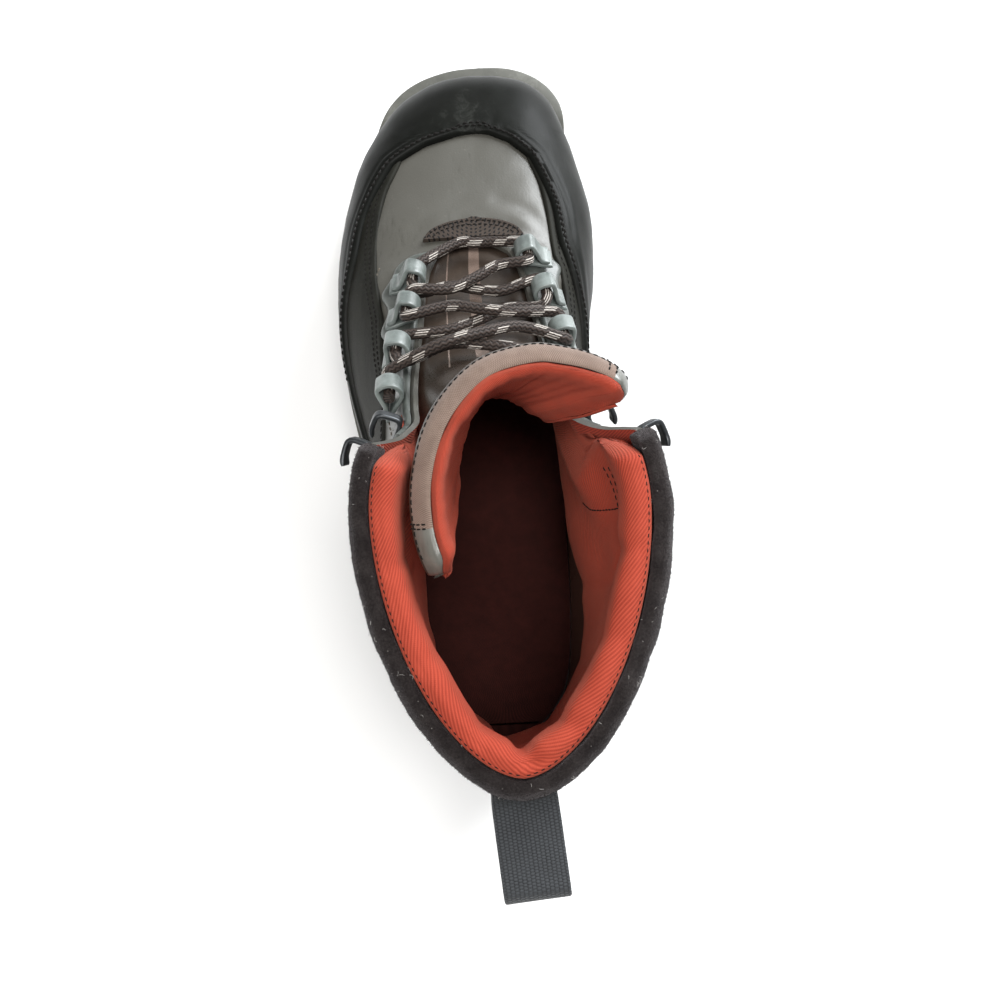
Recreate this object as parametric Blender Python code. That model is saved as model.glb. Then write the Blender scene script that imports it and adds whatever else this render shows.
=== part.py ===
"""A lace-up wading boot for the left foot, built from separate solids in one shared frame.

Millimetres are used throughout and turned into metres when a mesh is made. +Y points to the toe,
+X to the inner (medial) side and +Z up. The origin is on the floor, under the middle of the heel.
The upper is a skin of sections: each section lies in a plane that holds the X direction and runs
from a point on the front line (toe, instep, tongue) to a point on the base line (sole, heel, back).
"""

import math

import bmesh
import bpy
import numpy as np

MM = 0.001

# Driving dimensions, in millimetres.
UPPER_LENGTH = 301.0
HEEL_BACK = -44.0
BALL_WIDTH = 108.0
SHAFT_HEIGHT = 167.0
HEEL_STACK = 38.0
FORE_STACK = 27.0
TOE_SPRING = 6.0
WALL = 2.4
CLEARANCE = 0.3
COVER = 0.85
SEAM_GAP = 1.2
EDGE_LIFT = 1.4
SEAT_GAP = 0.4

RAND_WALL = 2.2
RAND_HEEL = 19.0
COUNTER_WALL = 1.6
COUNTER_HEIGHT = 60.0
GUARD_WALL = 1.2
GUARD_WIDTH = 21.0
EYESTAY_WALL = 1.2
EYESTAY_WIDTH = 21.0
EYESTAY_INSET = 1.5
LEATHER_DROP = 12.0
CUFF_THICKNESS = 5.6
CUFF_BULGE = 1.5
ROLL_THICKNESS = 9.4
LINING_THICKNESS = 5.0
LINING_DEPTH = 78.0
LINING_FRONT = 20.0
LINING_CLEARANCE = 3.6
FRONT_INSET = 1.0
TONGUE_SHELL = 1.8
TONGUE_PAD = 8.5
TONGUE_CLEARANCE = 1.3

LUG_HEIGHT = 5.0
LUG_PITCH = 27.0
LUG_SHARE = 0.62
LUG_DEPTH = 15.0
LUG_STEP = 1.2
OUTSOLE_BASE = 4.5
SOLE_TOE_LIFT = 12.0
HEEL_FRONT = 36.0
BALL_BACK = 100.0
STEP_RUN = 7.0
ARCH_RISE = 9.0
INSOLE_THICKNESS = 4.5
INSOLE_GAP = 1.6
TOE_RIM_HEIGHT = 8.0
SIDE_LIP_HEIGHT = 2.0
GROOVE_DEPTH = 1.8

LACE_DIAMETER = 4.4
LACE_RISE = 1.2
EYE_RADIUS = 3.6
EYE_WALL = 1.7
EYE_LENGTH = 6.5
EYE_TAB = 11.0
HOOK_WIDTH = 5.0
HOOK_THICKNESS = 2.2
HOOK_REACH = 9.0
HOOK_TAIL = 11.0
WEBBING_WIDTH = 21.0
WEBBING_THICKNESS = 1.8
WEBBING_REACH = 34.0
WEBBING_OPENING = 6.5
PULL_LEAN = 5.0

COLLAR_TOP = HEEL_STACK + SHAFT_HEIGHT

# Each row is one section of the upper. Lengths are shares of the named sizes: front_y and base_y of
# UPPER_LENGTH from the back of the heel, front_z and rise of SHAFT_HEIGHT above the heel seat, and
# the x columns of BALL_WIDTH. ramp goes from the forefoot's stack (0) to the heel's (1), and spring
# is the share of the toe spring. widest is the share of the depth where the section is widest,
# foot the square of the share of that width left at the base, and crown and heel round its ends.
SECTION_COLUMNS = (
    "front_y front_z base_y ramp spring rise front_x base_x left right widest foot crown heel"
).split()
SECTIONS = (
    (0.987, 0.060, 1.000, 0.00, 1.00, 0.000, 0.019, 0.019, 0.000, 0.000, 0.50, 1.00, 2.3, 2.4),
    (0.982, 0.102, 0.997, 0.00, 1.00, 0.000, 0.019, 0.019, 0.115, 0.105, 0.55, 0.92, 2.4, 2.4),
    (0.966, 0.141, 0.984, 0.00, 0.95, 0.000, 0.009, 0.009, 0.225, 0.205, 0.58, 0.92, 2.6, 2.4),
    (0.935, 0.174, 0.958, 0.00, 0.85, 0.000, 0.000, 0.000, 0.318, 0.285, 0.60, 0.92, 2.8, 2.4),
    (0.889, 0.204, 0.915, 0.00, 0.65, 0.000, -0.009, -0.019, 0.393, 0.345, 0.60, 0.92, 3.0, 2.4),
    (0.830, 0.237, 0.850, 0.00, 0.42, 0.000, -0.019, -0.037, 0.460, 0.402, 0.60, 0.92, 3.0, 2.4),
    (0.758, 0.275, 0.765, 0.00, 0.20, 0.000, -0.028, -0.060, 0.500, 0.460, 0.60, 0.92, 2.9, 2.4),
    (0.690, 0.323, 0.667, 0.02, 0.05, 0.000, -0.037, -0.079, 0.515, 0.471, 0.60, 0.90, 2.7, 2.4),
    (0.624, 0.392, 0.562, 0.15, 0.00, 0.000, -0.037, -0.083, 0.508, 0.440, 0.60, 0.90, 2.5, 2.3),
    (0.565, 0.479, 0.444, 0.50, 0.00, 0.000, -0.028, -0.065, 0.468, 0.398, 0.58, 0.88, 2.4, 2.3),
    (0.520, 0.575, 0.324, 0.85, 0.00, 0.000, -0.019, -0.028, 0.417, 0.361, 0.55, 0.85, 2.4, 2.2),
    (0.487, 0.671, 0.190, 1.00, 0.00, 0.000, -0.009, -0.009, 0.384, 0.352, 0.52, 0.79, 2.4, 2.2),
    (0.471, 0.749, 0.085, 1.00, 0.00, 0.000, 0.000, 0.000, 0.366, 0.347, 0.50, 0.62, 2.4, 2.2),
    (0.464, 0.796, 0.029, 1.00, 0.00, 0.000, 0.009, 0.000, 0.361, 0.352, 0.50, 0.27, 2.4, 2.2),
    (0.461, 0.832, 0.000, 1.00, 0.00, 0.000, 0.014, 0.000, 0.366, 0.361, 0.49, 0.00, 2.4, 2.2),
    (0.459, 0.874, -0.013, 1.00, 0.00, 0.138, 0.019, 0.000, 0.375, 0.380, 0.47, 0.00, 2.4, 2.1),
    (0.461, 0.910, -0.008, 1.00, 0.00, 0.329, 0.028, 0.009, 0.389, 0.403, 0.45, 0.00, 2.3, 2.0),
    (0.464, 0.946, 0.000, 1.00, 0.00, 0.581, 0.032, 0.028, 0.417, 0.435, 0.42, 0.00, 2.2, 1.9),
    (0.469, 0.970, -0.003, 1.00, 0.00, 0.802, 0.037, 0.037, 0.444, 0.458, 0.40, 0.00, 2.1, 1.8),
    (0.471, 0.994, -0.010, 1.00, 0.00, 1.000, 0.041, 0.041, 0.463, 0.463, 0.39, 0.00, 2.0, 1.8),
)
COLLAR_ROW = float(len(SECTIONS) - 1)
HEEL_ROW = 14.0

# Half of the throat's opening, measured over the skin from the front line, in shares of BALL_WIDTH.
THROAT_ROW = 6.9
THROAT = (
    # section, lateral, medial
    (6.90, 0.000, 0.000),
    (6.97, 0.085, 0.075),
    (7.15, 0.140, 0.130),
    (7.50, 0.170, 0.165),
    (8.00, 0.190, 0.190),
    (9.00, 0.215, 0.220),
    (10.0, 0.250, 0.255),
    (11.0, 0.296, 0.300),
    (12.0, 0.333, 0.335),
    (14.0, 0.380, 0.385),
    (16.0, 0.454, 0.460),
    (19.0, 0.574, 0.580),
)

# The top edge of the rubber rand, as a share of each section's half curve from the front line.
TOE_CAP_ROW = 4.25
RAND_EDGE = (
    # section, lateral, medial
    (4.25, 0.000, 0.000),
    (4.32, 0.110, 0.090),
    (4.55, 0.260, 0.190),
    (5.00, 0.400, 0.290),
    (6.00, 0.480, 0.350),
    (7.00, 0.500, 0.365),
    (8.00, 0.560, 0.440),
    (9.00, 0.650, 0.560),
    (10.0, 0.750, 0.700),
    (11.0, 0.830, 0.810),
    (12.0, 0.865, 0.855),
    (13.0, 0.885, 0.880),
    (14.0, 0.905, 0.905),
)

# The sole stands out past the feather line by these amounts, in millimetres.
SOLE_MARGIN = (
    # section, margin
    (0.0, 9.0),
    (3.0, 8.0),
    (4.5, 5.8),
    (6.0, 5.2),
    (8.0, 5.2),
    (10.0, 5.2),
    (12.0, 5.8),
    (14.0, 6.8),
)

# The front of the tongue, from its root under the vamp to its top edge. Rows follow the upper's
# sections. lateral and medial are its reach over the skin, in shares of BALL_WIDTH. free goes from
# the upper's own form (0) to the slack form of the worn tongue (1): a middle point and an elliptic
# wing on each side. x and spread are shares of BALL_WIDTH, y and sweep of UPPER_LENGTH, z and drop
# of SHAFT_HEIGHT, and turn is the wing's arc in degrees.
TONGUE_COLUMNS = (
    "section lateral medial free mid_x mid_y mid_z spread_l sweep_l turn_l drop_l spread_r sweep_r turn_r drop_r"
).split()
TONGUE = (
    (6.35, 0.20, 0.20, 0.0, 0.00, 0.470, 0.690, 0.30, 0.120, 90, 0.03, 0.28, 0.080, 70, 0.03),
    (7.00, 0.26, 0.26, 0.0, 0.00, 0.470, 0.690, 0.30, 0.120, 90, 0.03, 0.28, 0.080, 70, 0.03),
    (8.00, 0.29, 0.29, 0.0, 0.00, 0.470, 0.690, 0.30, 0.120, 90, 0.03, 0.28, 0.080, 70, 0.03),
    (9.00, 0.31, 0.31, 0.0, 0.00, 0.470, 0.690, 0.30, 0.120, 90, 0.03, 0.28, 0.080, 70, 0.03),
    (10.0, 0.33, 0.33, 0.0, 0.00, 0.470, 0.690, 0.30, 0.120, 90, 0.03, 0.28, 0.080, 70, 0.03),
    (11.0, 0.35, 0.35, 0.2, 0.00, 0.470, 0.690, 0.24, 0.120, 90, 0.03, 0.21, 0.080, 70, 0.03),
    (12.0, 0.36, 0.36, 1.0, 0.02, 0.462, 0.770, 0.222, 0.130, 96, 0.03, 0.235, 0.085, 70, 0.02),
    (13.0, 0.38, 0.38, 1.0, 0.06, 0.458, 0.855, 0.285, 0.150, 110, 0.02, 0.27, 0.085, 72, 0.01),
    (14.0, 0.40, 0.40, 1.0, 0.10, 0.457, 0.935, 0.34, 0.160, 118, 0.01, 0.31, 0.080, 74, 0.00),
    (15.0, 0.42, 0.42, 1.0, 0.12, 0.455, 1.010, 0.365, 0.165, 120, 0.00, 0.36, 0.080, 75, 0.00),
)

# Where the lace eyes sit on the eyestay: the section on each side.
EYES = (
    # lateral, medial
    (8.00, 7.50),
    (8.85, 8.45),
    (9.95, 9.55),
    (11.2, 10.8),
)
HOOK_HEIGHTS = (0.70, 0.885)

# The top edge of the heel counter, as a share of the half curve: before the heel's section by
# sections ahead of it, and above it by the share of the way up to the counter's top.
COUNTER_EDGE = (
    # place, lateral, medial
    (-3.4, 0.70, 0.70),
    (-2.0, 0.62, 0.62),
    (-1.0, 0.60, 0.60),
    (0.00, 0.60, 0.60),
    (0.40, 0.62, 0.62),
    (0.70, 0.70, 0.70),
    (0.90, 0.80, 0.80),
    (1.00, 0.88, 0.88),
)

COLOURS = {
    "outsole": ((0.018, 0.018, 0.017), 0.75),
    "midsole": ((0.105, 0.100, 0.085), 0.80),
    "insole": ((0.030, 0.014, 0.012), 0.90),
    "upper": ((0.110, 0.105, 0.090), 0.50),
    "rand": ((0.014, 0.016, 0.016), 0.45),
    "counter": ((0.050, 0.048, 0.040), 0.50),
    "guard": ((0.060, 0.045, 0.038), 0.70),
    "cuff": ((0.025, 0.022, 0.024), 0.95),
    "lining": ((0.720, 0.120, 0.050), 0.85),
    "tongue": ((0.110, 0.078, 0.060), 0.60),
    "eye": ((0.170, 0.180, 0.175), 0.35),
    "hook": ((0.035, 0.037, 0.038), 0.35),
    "lace": ((0.060, 0.045, 0.042), 0.85),
    "webbing": ((0.022, 0.024, 0.026), 0.80),
}
METALLIC = ("hook",)


def clear_scene():
    for old in list(bpy.data.objects):
        bpy.data.objects.remove(old, do_unlink=True)


def material(name):
    if name in bpy.data.materials:
        return bpy.data.materials[name]
    colour, roughness = COLOURS[name]
    made = bpy.data.materials.new(name)
    made.use_nodes = True
    shader = made.node_tree.nodes["Principled BSDF"]
    shader.inputs["Base Color"].default_value = (*colour, 1.0)
    shader.inputs["Roughness"].default_value = roughness
    shader.inputs["Metallic"].default_value = 1.0 if name in METALLIC else 0.0
    return made


def add_solid(name, finish, points, faces):
    """One closed mesh object, with its faces turned outwards."""
    mesh = bpy.data.meshes.new(name)
    mesh.from_pydata([tuple(p) for p in np.asarray(points) * MM], [], faces)
    work = bmesh.new()
    work.from_mesh(mesh)
    bmesh.ops.recalc_face_normals(work, faces=work.faces)
    work.to_mesh(mesh)
    work.free()
    mesh.shade_smooth()
    mesh.set_sharp_from_angle(angle=math.radians(40))
    mesh.materials.append(material(finish))
    obj = bpy.data.objects.new(name, mesh)
    bpy.context.scene.collection.objects.link(obj)
    return obj


def unite(obj, other):
    """Joins another closed mesh into obj for good."""
    join = obj.modifiers.new("join", "BOOLEAN")
    join.operation = "UNION"
    join.use_self = True
    join.object = other
    graph = bpy.context.evaluated_depsgraph_get()
    joined = bpy.data.meshes.new_from_object(obj.evaluated_get(graph))
    obj.modifiers.clear()
    obj.data = joined
    bpy.data.objects.remove(other, do_unlink=True)
    return obj


def catmull_rom(table, position):
    """The values of a table of rows at a position between them, through every row."""
    last = len(table) - 1
    i = min(int(position), last - 1)
    t = position - i
    before, a, b, after = (table[min(max(k, 0), last)] for k in (i - 1, i, i + 1, i + 2))
    slope_a, slope_b = (b - before) / 2, (after - a) / 2
    return (
        a * (2 * t**3 - 3 * t**2 + 1)
        + slope_a * (t**3 - 2 * t**2 + t)
        + b * (3 * t**2 - 2 * t**3)
        + slope_b * (t**3 - t**2)
    )


SECTION_ARRAY = np.array(SECTIONS)


def section_at(row):
    """One section between the table's rows, as named lengths in millimetres."""
    share = dict(zip(SECTION_COLUMNS, catmull_rom(SECTION_ARRAY, row)))
    seat = FORE_STACK + (HEEL_STACK - FORE_STACK) * share["ramp"] + TOE_SPRING * share["spring"]
    return {
        "front": np.array([
            BALL_WIDTH * share["front_x"],
            HEEL_BACK + UPPER_LENGTH * share["front_y"],
            HEEL_STACK + SHAFT_HEIGHT * share["front_z"],
        ]),
        "base": np.array([
            BALL_WIDTH * share["base_x"],
            HEEL_BACK + UPPER_LENGTH * share["base_y"],
            seat + SHAFT_HEIGHT * max(share["rise"], 0.0),
        ]),
        "half": (BALL_WIDTH * max(share["left"], 0), BALL_WIDTH * max(share["right"], 0)),
        "widest": share["widest"],
        "foot": math.sqrt(max(share["foot"], 0.0)) if row < HEEL_ROW else 0.0,
        "crown": share["crown"],
        "heel": share["heel"],
    }


CURVES = {}
CURVE_STEPS = 60


def half_curve(row, side):
    """Points along one half of a section, from the front line to the base, and their arc lengths."""
    key = (round(row, 4), side)
    if key in CURVES:
        return CURVES[key]
    cut = section_at(row)
    half, widest, foot = cut["half"][side], cut["widest"], min(max(cut["foot"], 0.0), 0.999)
    turn = np.linspace(0, math.pi / 2, CURVE_STEPS)
    crown = 2 / cut["crown"]
    across = [half * np.sin(turn) ** crown]
    down = [widest * (1 - np.cos(turn) ** crown)]
    heel = 2 / cut["heel"]
    end = math.acos(foot ** (1 / heel)) if foot > 0 else math.pi / 2
    turn = np.linspace(0, end, CURVE_STEPS)[1:]
    closing = np.clip(np.cos(turn), 0, 1) ** heel
    if foot <= 0:
        closing[-1] = 0.0
    across.append(half * closing)
    down.append(widest + (1 - widest) * (np.sin(turn) / math.sin(end)) ** heel)
    across, down = np.concatenate(across), np.concatenate(down)
    points = cut["front"] + np.outer(down, cut["base"] - cut["front"])
    points[:, 0] += across * (-1 if side == 0 else 1)
    steps = np.linalg.norm(np.diff(points, axis=0), axis=1)
    arc = np.concatenate([[0.0], np.cumsum(steps)])
    CURVES[key] = (points, arc)
    return CURVES[key]


def skin(row, side, share):
    """A point on the upper's outer surface, at a share of the half curve from the front line."""
    points, arc = half_curve(row, side)
    along = share * arc[-1]
    return np.array([np.interp(along, arc, points[:, k]) for k in range(3)])


def skin_normal(row, side, share):
    step = 0.02
    low, high = max(share - step, 0.0), min(share + step, 1.0)
    if low == 0.0:
        high = step
    if high == 1.0:
        low = 1.0 - step
    down = skin(row, side, high) - skin(row, side, low)
    back, ahead = min(row + 0.08, COLLAR_ROW), max(row - 0.08, 0.0)
    along = skin(back, side, share) - skin(ahead, side, share)
    normal = np.cross(down, along) if side == 0 else np.cross(along, down)
    if row == 0:
        normal[0] = 0.0
    level = smooth((row - 13.0) / 0.7) * smooth((15.0 - row) / 0.6) * smooth((share - 0.82) / 0.14)
    normal[2] *= 1.0 - level
    return normal / max(np.linalg.norm(normal), 1e-9)


def raised(row, side, share, height):
    """A point over the skin by height, or under it where height is negative; the base stays level."""
    base = skin(row, side, share)
    point = base + height * skin_normal(row, side, share)
    if share >= 1 - 1e-9 and row <= HEEL_ROW:
        point[2] = base[2]
    return point


def between(table, row):
    """The columns of a table whose first column is the section, at a section between its rows."""
    values = np.array(table)
    return [np.interp(row, values[:, 0], values[:, k]) for k in range(1, values.shape[1])]


def throat_share(row, side):
    """The throat's edge, as a share of the half curve."""
    if row <= THROAT_ROW:
        return 0.0
    return BALL_WIDTH * between(THROAT, row)[side] / half_curve(row, side)[1][-1]


def row_at_height(side, part, height):
    """The section whose point at this part of the way from the throat's edge to the back has this height."""
    rows = np.linspace(9.5, COLLAR_ROW, 39)
    heights = [skin(r, side, mix(throat_share(r, side), 1.0, part))[2] for r in rows]
    return float(np.interp(height, heights, rows))


def mix(a, b, t):
    return a + (b - a) * t


def smooth(t):
    t = min(max(t, 0.0), 1.0)
    return t * t * (3 - 2 * t)


def share_at_height(row, side, height):
    """The share of the half curve at which a section comes down to a height."""
    points, arc = half_curve(row, side)
    return float(np.interp(height, points[::-1, 2], arc[::-1]) / arc[-1])


def length_share(row, side, length):
    """A length over the skin, as a share of the half curve."""
    return length / half_curve(row, side)[1][-1]


def row_at_base(y):
    """The section whose base point has this y."""
    rows = np.linspace(0, HEEL_ROW, 141)
    return float(np.interp(-y, [-section_at(r)["base"][1] for r in rows], rows))


def row_at_back(height):
    """The section whose base point has this height, up the back of the heel."""
    rows = np.linspace(HEEL_ROW, COLLAR_ROW, 101)
    return float(np.interp(height, [section_at(r)["base"][2] for r in rows], rows))


def close_layers(name, finish, top, bottom, quads):
    """A closed solid from an outer and an inner layer, closed all round its edges."""
    index = {k: n for n, k in enumerate(top)}
    count = len(index)
    points = [np.mean(top[k], axis=0) for k in index] + [np.mean(bottom[k], axis=0) for k in index]
    faces, edges = [], {}
    for quad in quads:
        ids = [index[k] for k in quad]
        face = [v for n, v in enumerate(ids) if v != ids[n - 1]]
        if len(set(face)) < 3:
            continue
        for a, b in zip(face, face[1:] + face[:1]):
            edges.setdefault(tuple(sorted((a, b))), []).append((a, b))
        faces += [face] if len(face) == 3 else [face[:3], [face[0], face[2], face[3]]]
    lower = [[v + count for v in reversed(face)] for face in faces]
    rim = [[b, a, a + count, b + count] for uses in edges.values() if len(uses) == 1 for a, b in uses]
    return add_solid(name, finish, points, faces + lower + rim)


def skin_solid(name, finish, rows, columns, place, low, high, sides=(0, 1)):
    """A closed solid between two heights over the skin, or under it where they are negative.

    place gives the section and the share of its half curve, for a row, a side and a column. The two
    sides share their points on the front line, at the toe and up the back.
    """
    top, bottom, quads = {}, {}, []
    for side in sides:
        keys = []
        for i, row in enumerate(rows):
            line = []
            for j, column in enumerate(columns):
                at, share = place(row, side, column)
                key = (i, side, j)
                if at == 0:
                    key = (i, "toe", j)
                if share <= 1e-9:
                    key = (i, "front")
                elif share >= 1 - 1e-9 and at >= HEEL_ROW:
                    key = (i, "back")
                elif line and abs(share - last) < 1e-9:
                    key = line[-1]
                last = share
                top.setdefault(key, []).append(raised(at, side, share, high))
                bottom.setdefault(key, []).append(raised(at, side, share, low))
                line.append(key)
            keys.append(line)
        for row, a, b in zip(rows, keys, keys[1:]):
            for j in range(len(columns) - 1):
                quad = [a[j], a[j + 1], b[j + 1], b[j]]
                if side == 0 and HEEL_ROW - 0.7 < row < HEEL_ROW:
                    quad = quad[1:] + quad[:1]
                quads.append(quad if side == 0 else quad[::-1])
    return close_layers(name, finish, top, bottom, quads)


def sheet_solid(name, finish, grid, low, high):
    """A closed solid from a grid of points, between two distances along its normals."""
    grid = np.asarray(grid)
    along, across = np.gradient(grid, axis=0), np.gradient(grid, axis=1)
    normal = np.cross(along, across)
    normal /= np.linalg.norm(normal, axis=2, keepdims=True)
    count, columns = grid.shape[:2]
    top = {(i, j): [grid[i, j] + normal[i, j] * high(i, j)] for i in range(count) for j in range(columns)}
    bottom = {(i, j): [grid[i, j] + normal[i, j] * low(i, j)] for i in range(count) for j in range(columns)}
    quads = [
        [(i, j), (i, j + 1), (i + 1, j + 1), (i + 1, j)] for i in range(count - 1) for j in range(columns - 1)
    ]
    return close_layers(name, finish, top, bottom, quads)


def ring_solid(name, finish, rings, closed=False):
    """A closed solid through a row of rings with the same number of points, capped at both ends."""
    count = len(rings[0])
    points = [p for ring in rings for p in ring]
    faces = []
    spans = len(rings) if closed else len(rings) - 1
    for i in range(spans):
        a, b = i * count, ((i + 1) % len(rings)) * count
        for j in range(count):
            k = (j + 1) % count
            faces.append([a + j, a + k, b + k, b + j])
    if not closed:
        last = (len(rings) - 1) * count
        for j in range(count // 2):
            strip = [j, j + 1, count - 2 - j, count - 1 - j]
            strip = [v for n, v in enumerate(strip) if v != strip[n - 1]]
            if len(strip) > 2:
                faces += [strip[::-1], [last + v for v in strip]]
    return add_solid(name, finish, points, faces)


def strip_ring(path, thickness):
    """The outline of a strip of even thickness along a path in a plane."""
    path = np.asarray(path, dtype=float)
    run = np.gradient(path, axis=0)
    run /= np.linalg.norm(run, axis=1, keepdims=True)
    off = np.stack([-run[:, 1], run[:, 0]], axis=1) * thickness / 2
    return np.concatenate([path + off, (path - off)[::-1]])


def strip_solid(name, finish, path, thickness, width, origin, along, up, across):
    """A strip bent along a path in the plane of along and up, with its width along across."""
    ring = strip_ring(path, thickness)
    half = len(path)
    flat = origin + np.outer(ring[:, 0], along) + np.outer(ring[:, 1], up)
    near, far = flat - across * width / 2, flat + across * width / 2
    points = np.concatenate([near, far])
    count = 2 * half
    faces = [[j, (j + 1) % count, (j + 1) % count + count, j + count] for j in range(count)]
    for j in range(half - 1):
        quad = [j, j + 1, count - 2 - j, count - 1 - j]
        faces.append(quad[::-1])
        faces.append([v + count for v in quad])
    return add_solid(name, finish, points, faces)


# Sections where the upper's mesh has a row of points: close at the toe, the throat and the heel.
FOOT_ROWS = (
    0, 0.4, 0.8, 1.3, 1.9, 2.6, 3.4, 4.25, 4.45, 5, 5.8, 6.4, 6.9, 7.15, 7.5, 8.2, 9, 9.8,
    10.6, 11.4, 12.2, 12.9, 13.4, 13.75,
)  # fmt: skip
UPPER_ROWS = FOOT_ROWS[:13] + (6.97,) + FOOT_ROWS[13:] + (14, 14.6, 15.3, 16, 17, 18, 19)
UPPER_COLUMNS = 12
COLUMNS = np.linspace(0, 1, UPPER_COLUMNS)


def leather_place(row, side, part):
    """Rows near the collar are drawn down, so that the leather ends below the padded edge."""
    start, at = 15.3, row
    if row > start:
        edge = row_at_height(side, part, COLLAR_TOP - LEATHER_DROP)
        at = mix(start, edge, (row - start) / (COLLAR_ROW - start))
    return at, mix(throat_share(at, side), 1.0, part)


def make_upper():
    """The hollow leather upper, open at the throat, at the collar and underneath."""
    skin_solid("upper", "upper", UPPER_ROWS, COLUMNS, leather_place, -WALL, 0.0)


def clamped(row, side, part, top, bottom):
    """The upper's own column, held between two edges, so that what covers the upper follows its faces."""
    share = mix(throat_share(row, side), 1.0, part)
    near = 0.3 * (1.0 - throat_share(row, side)) / (UPPER_COLUMNS - 1)
    if share < top + near or part == 0:
        return top
    return bottom if share > bottom - near or part == 1 else share


def rand_share(row, side):
    """The top edge of the rand: over the toe cap, then along the side, then level round the heel."""
    if row <= TOE_CAP_ROW:
        return 0.0
    level = share_at_height(row, side, HEEL_STACK + RAND_HEEL)
    return mix(between(RAND_EDGE, row)[side], level, smooth((row - 9) / 2))


def foot_end(row, side):
    """The lower edge of what goes over the upper, a little above the sole."""
    return 1.0 if row >= HEEL_ROW else 1.0 - length_share(row, side, EDGE_LIFT)


def heel_rows():
    """Sections up the back of the heel, from just over the sole to the top of the rand."""
    last = row_at_back(HEEL_STACK + RAND_HEEL)
    return tuple(mix(HEEL_ROW, last, t) for t in (0, 0.35, 0.62, 0.82, 0.94, 1))


def make_rand():
    """The rubber rand, which goes over the toe and round the whole foot."""
    last = row_at_back(HEEL_STACK + RAND_HEEL)
    rows = FOOT_ROWS + heel_rows()

    def place(row, side, part):
        edge = 1.0 if row == last else rand_share(row, side)
        return row, clamped(row, side, part, edge, foot_end(row, side))

    skin_solid("rand", "rand", rows, COLUMNS, place, COVER, COVER + RAND_WALL)


def make_counter():
    """The stiff heel counter above the rand."""
    last = row_at_back(HEEL_STACK + COUNTER_HEIGHT)
    start = row_at_back(HEEL_STACK + RAND_HEEL)
    rows = FOOT_ROWS[18:] + heel_rows()[:5] + (start + 0.08,) + tuple(mix(start, last, t) for t in (0.35, 0.7, 0.9, 1))

    def place(row, side, part):
        edge = between(COUNTER_EDGE, (row - HEEL_ROW) / (last - HEEL_ROW) if row > HEEL_ROW else row - HEEL_ROW)
        low = 1.0 if row > start else rand_share(row, side) - length_share(row, side, SEAM_GAP)
        return row, clamped(row, side, part, edge[side], low)

    skin_solid("heel_counter", "counter", rows, COLUMNS, place, COVER, COVER + COUNTER_WALL)


def make_guards():
    """The moulded eyestays along both sides of the throat, and the guard at its base."""
    rows = FOOT_ROWS[13:] + (14, 14.6, 15.2)
    for side, name in enumerate(("eyestay_lateral", "eyestay_medial")):

        def place(row, side, part):
            at, edge = leather_place(row, side, 0.0)
            width = EYESTAY_WIDTH * (0.8 + 0.2 * math.sin(row * 4.2)) if row < 11 else EYESTAY_WIDTH * 0.8
            start = edge + length_share(at, side, EYESTAY_INSET)
            return at, clamped(at, side, part, start, start + length_share(at, side, width))

        skin_solid(name, "eye", rows, COLUMNS[:6], place, COVER, COVER + EYESTAY_WALL, sides=(side,))

    def place(row, side, part):
        reach = length_share(row, side, GUARD_WIDTH * math.sqrt(max(1 - (6.84 - row) ** 2 / 0.72**2, 0.0)))
        return row, reach * part

    rows = (6.14, 6.24, 6.4, 6.6, 6.84)
    skin_solid("throat_guard", "guard", rows, (0, 0.5, 1), place, COVER, COVER + GUARD_WALL)


def collar_point(side, part, depth, inset, front=0.0):
    """A point at a depth below the collar's top and an inset from the skin; front keeps it behind the throat."""
    row = row_at_height(side, part, COLLAR_TOP - max(depth, 0.0))
    start = throat_share(row, side) + length_share(row, side, front)
    point = raised(row, side, mix(start, 1.0, part), -inset)
    point[2] += max(-depth, 0.0)
    return point


def padded_edge(name, finish, profile, parts, front):
    """A padded band along the collar, from its profile of (depth, inset) points."""
    rings = []
    for side, line in ((0, parts), (1, parts[-2::-1])):
        for part in line:
            rings.append([collar_point(side, part, depth, inset, front(depth)) for depth, inset in profile])
    middle = len(parts) - 1
    other = [collar_point(1, 1.0, depth, inset, front(depth)) for depth, inset in profile]
    rings[middle] = [(a + b) / 2 for a, b in zip(rings[middle], other)]
    return ring_solid(name, finish, rings)


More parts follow.
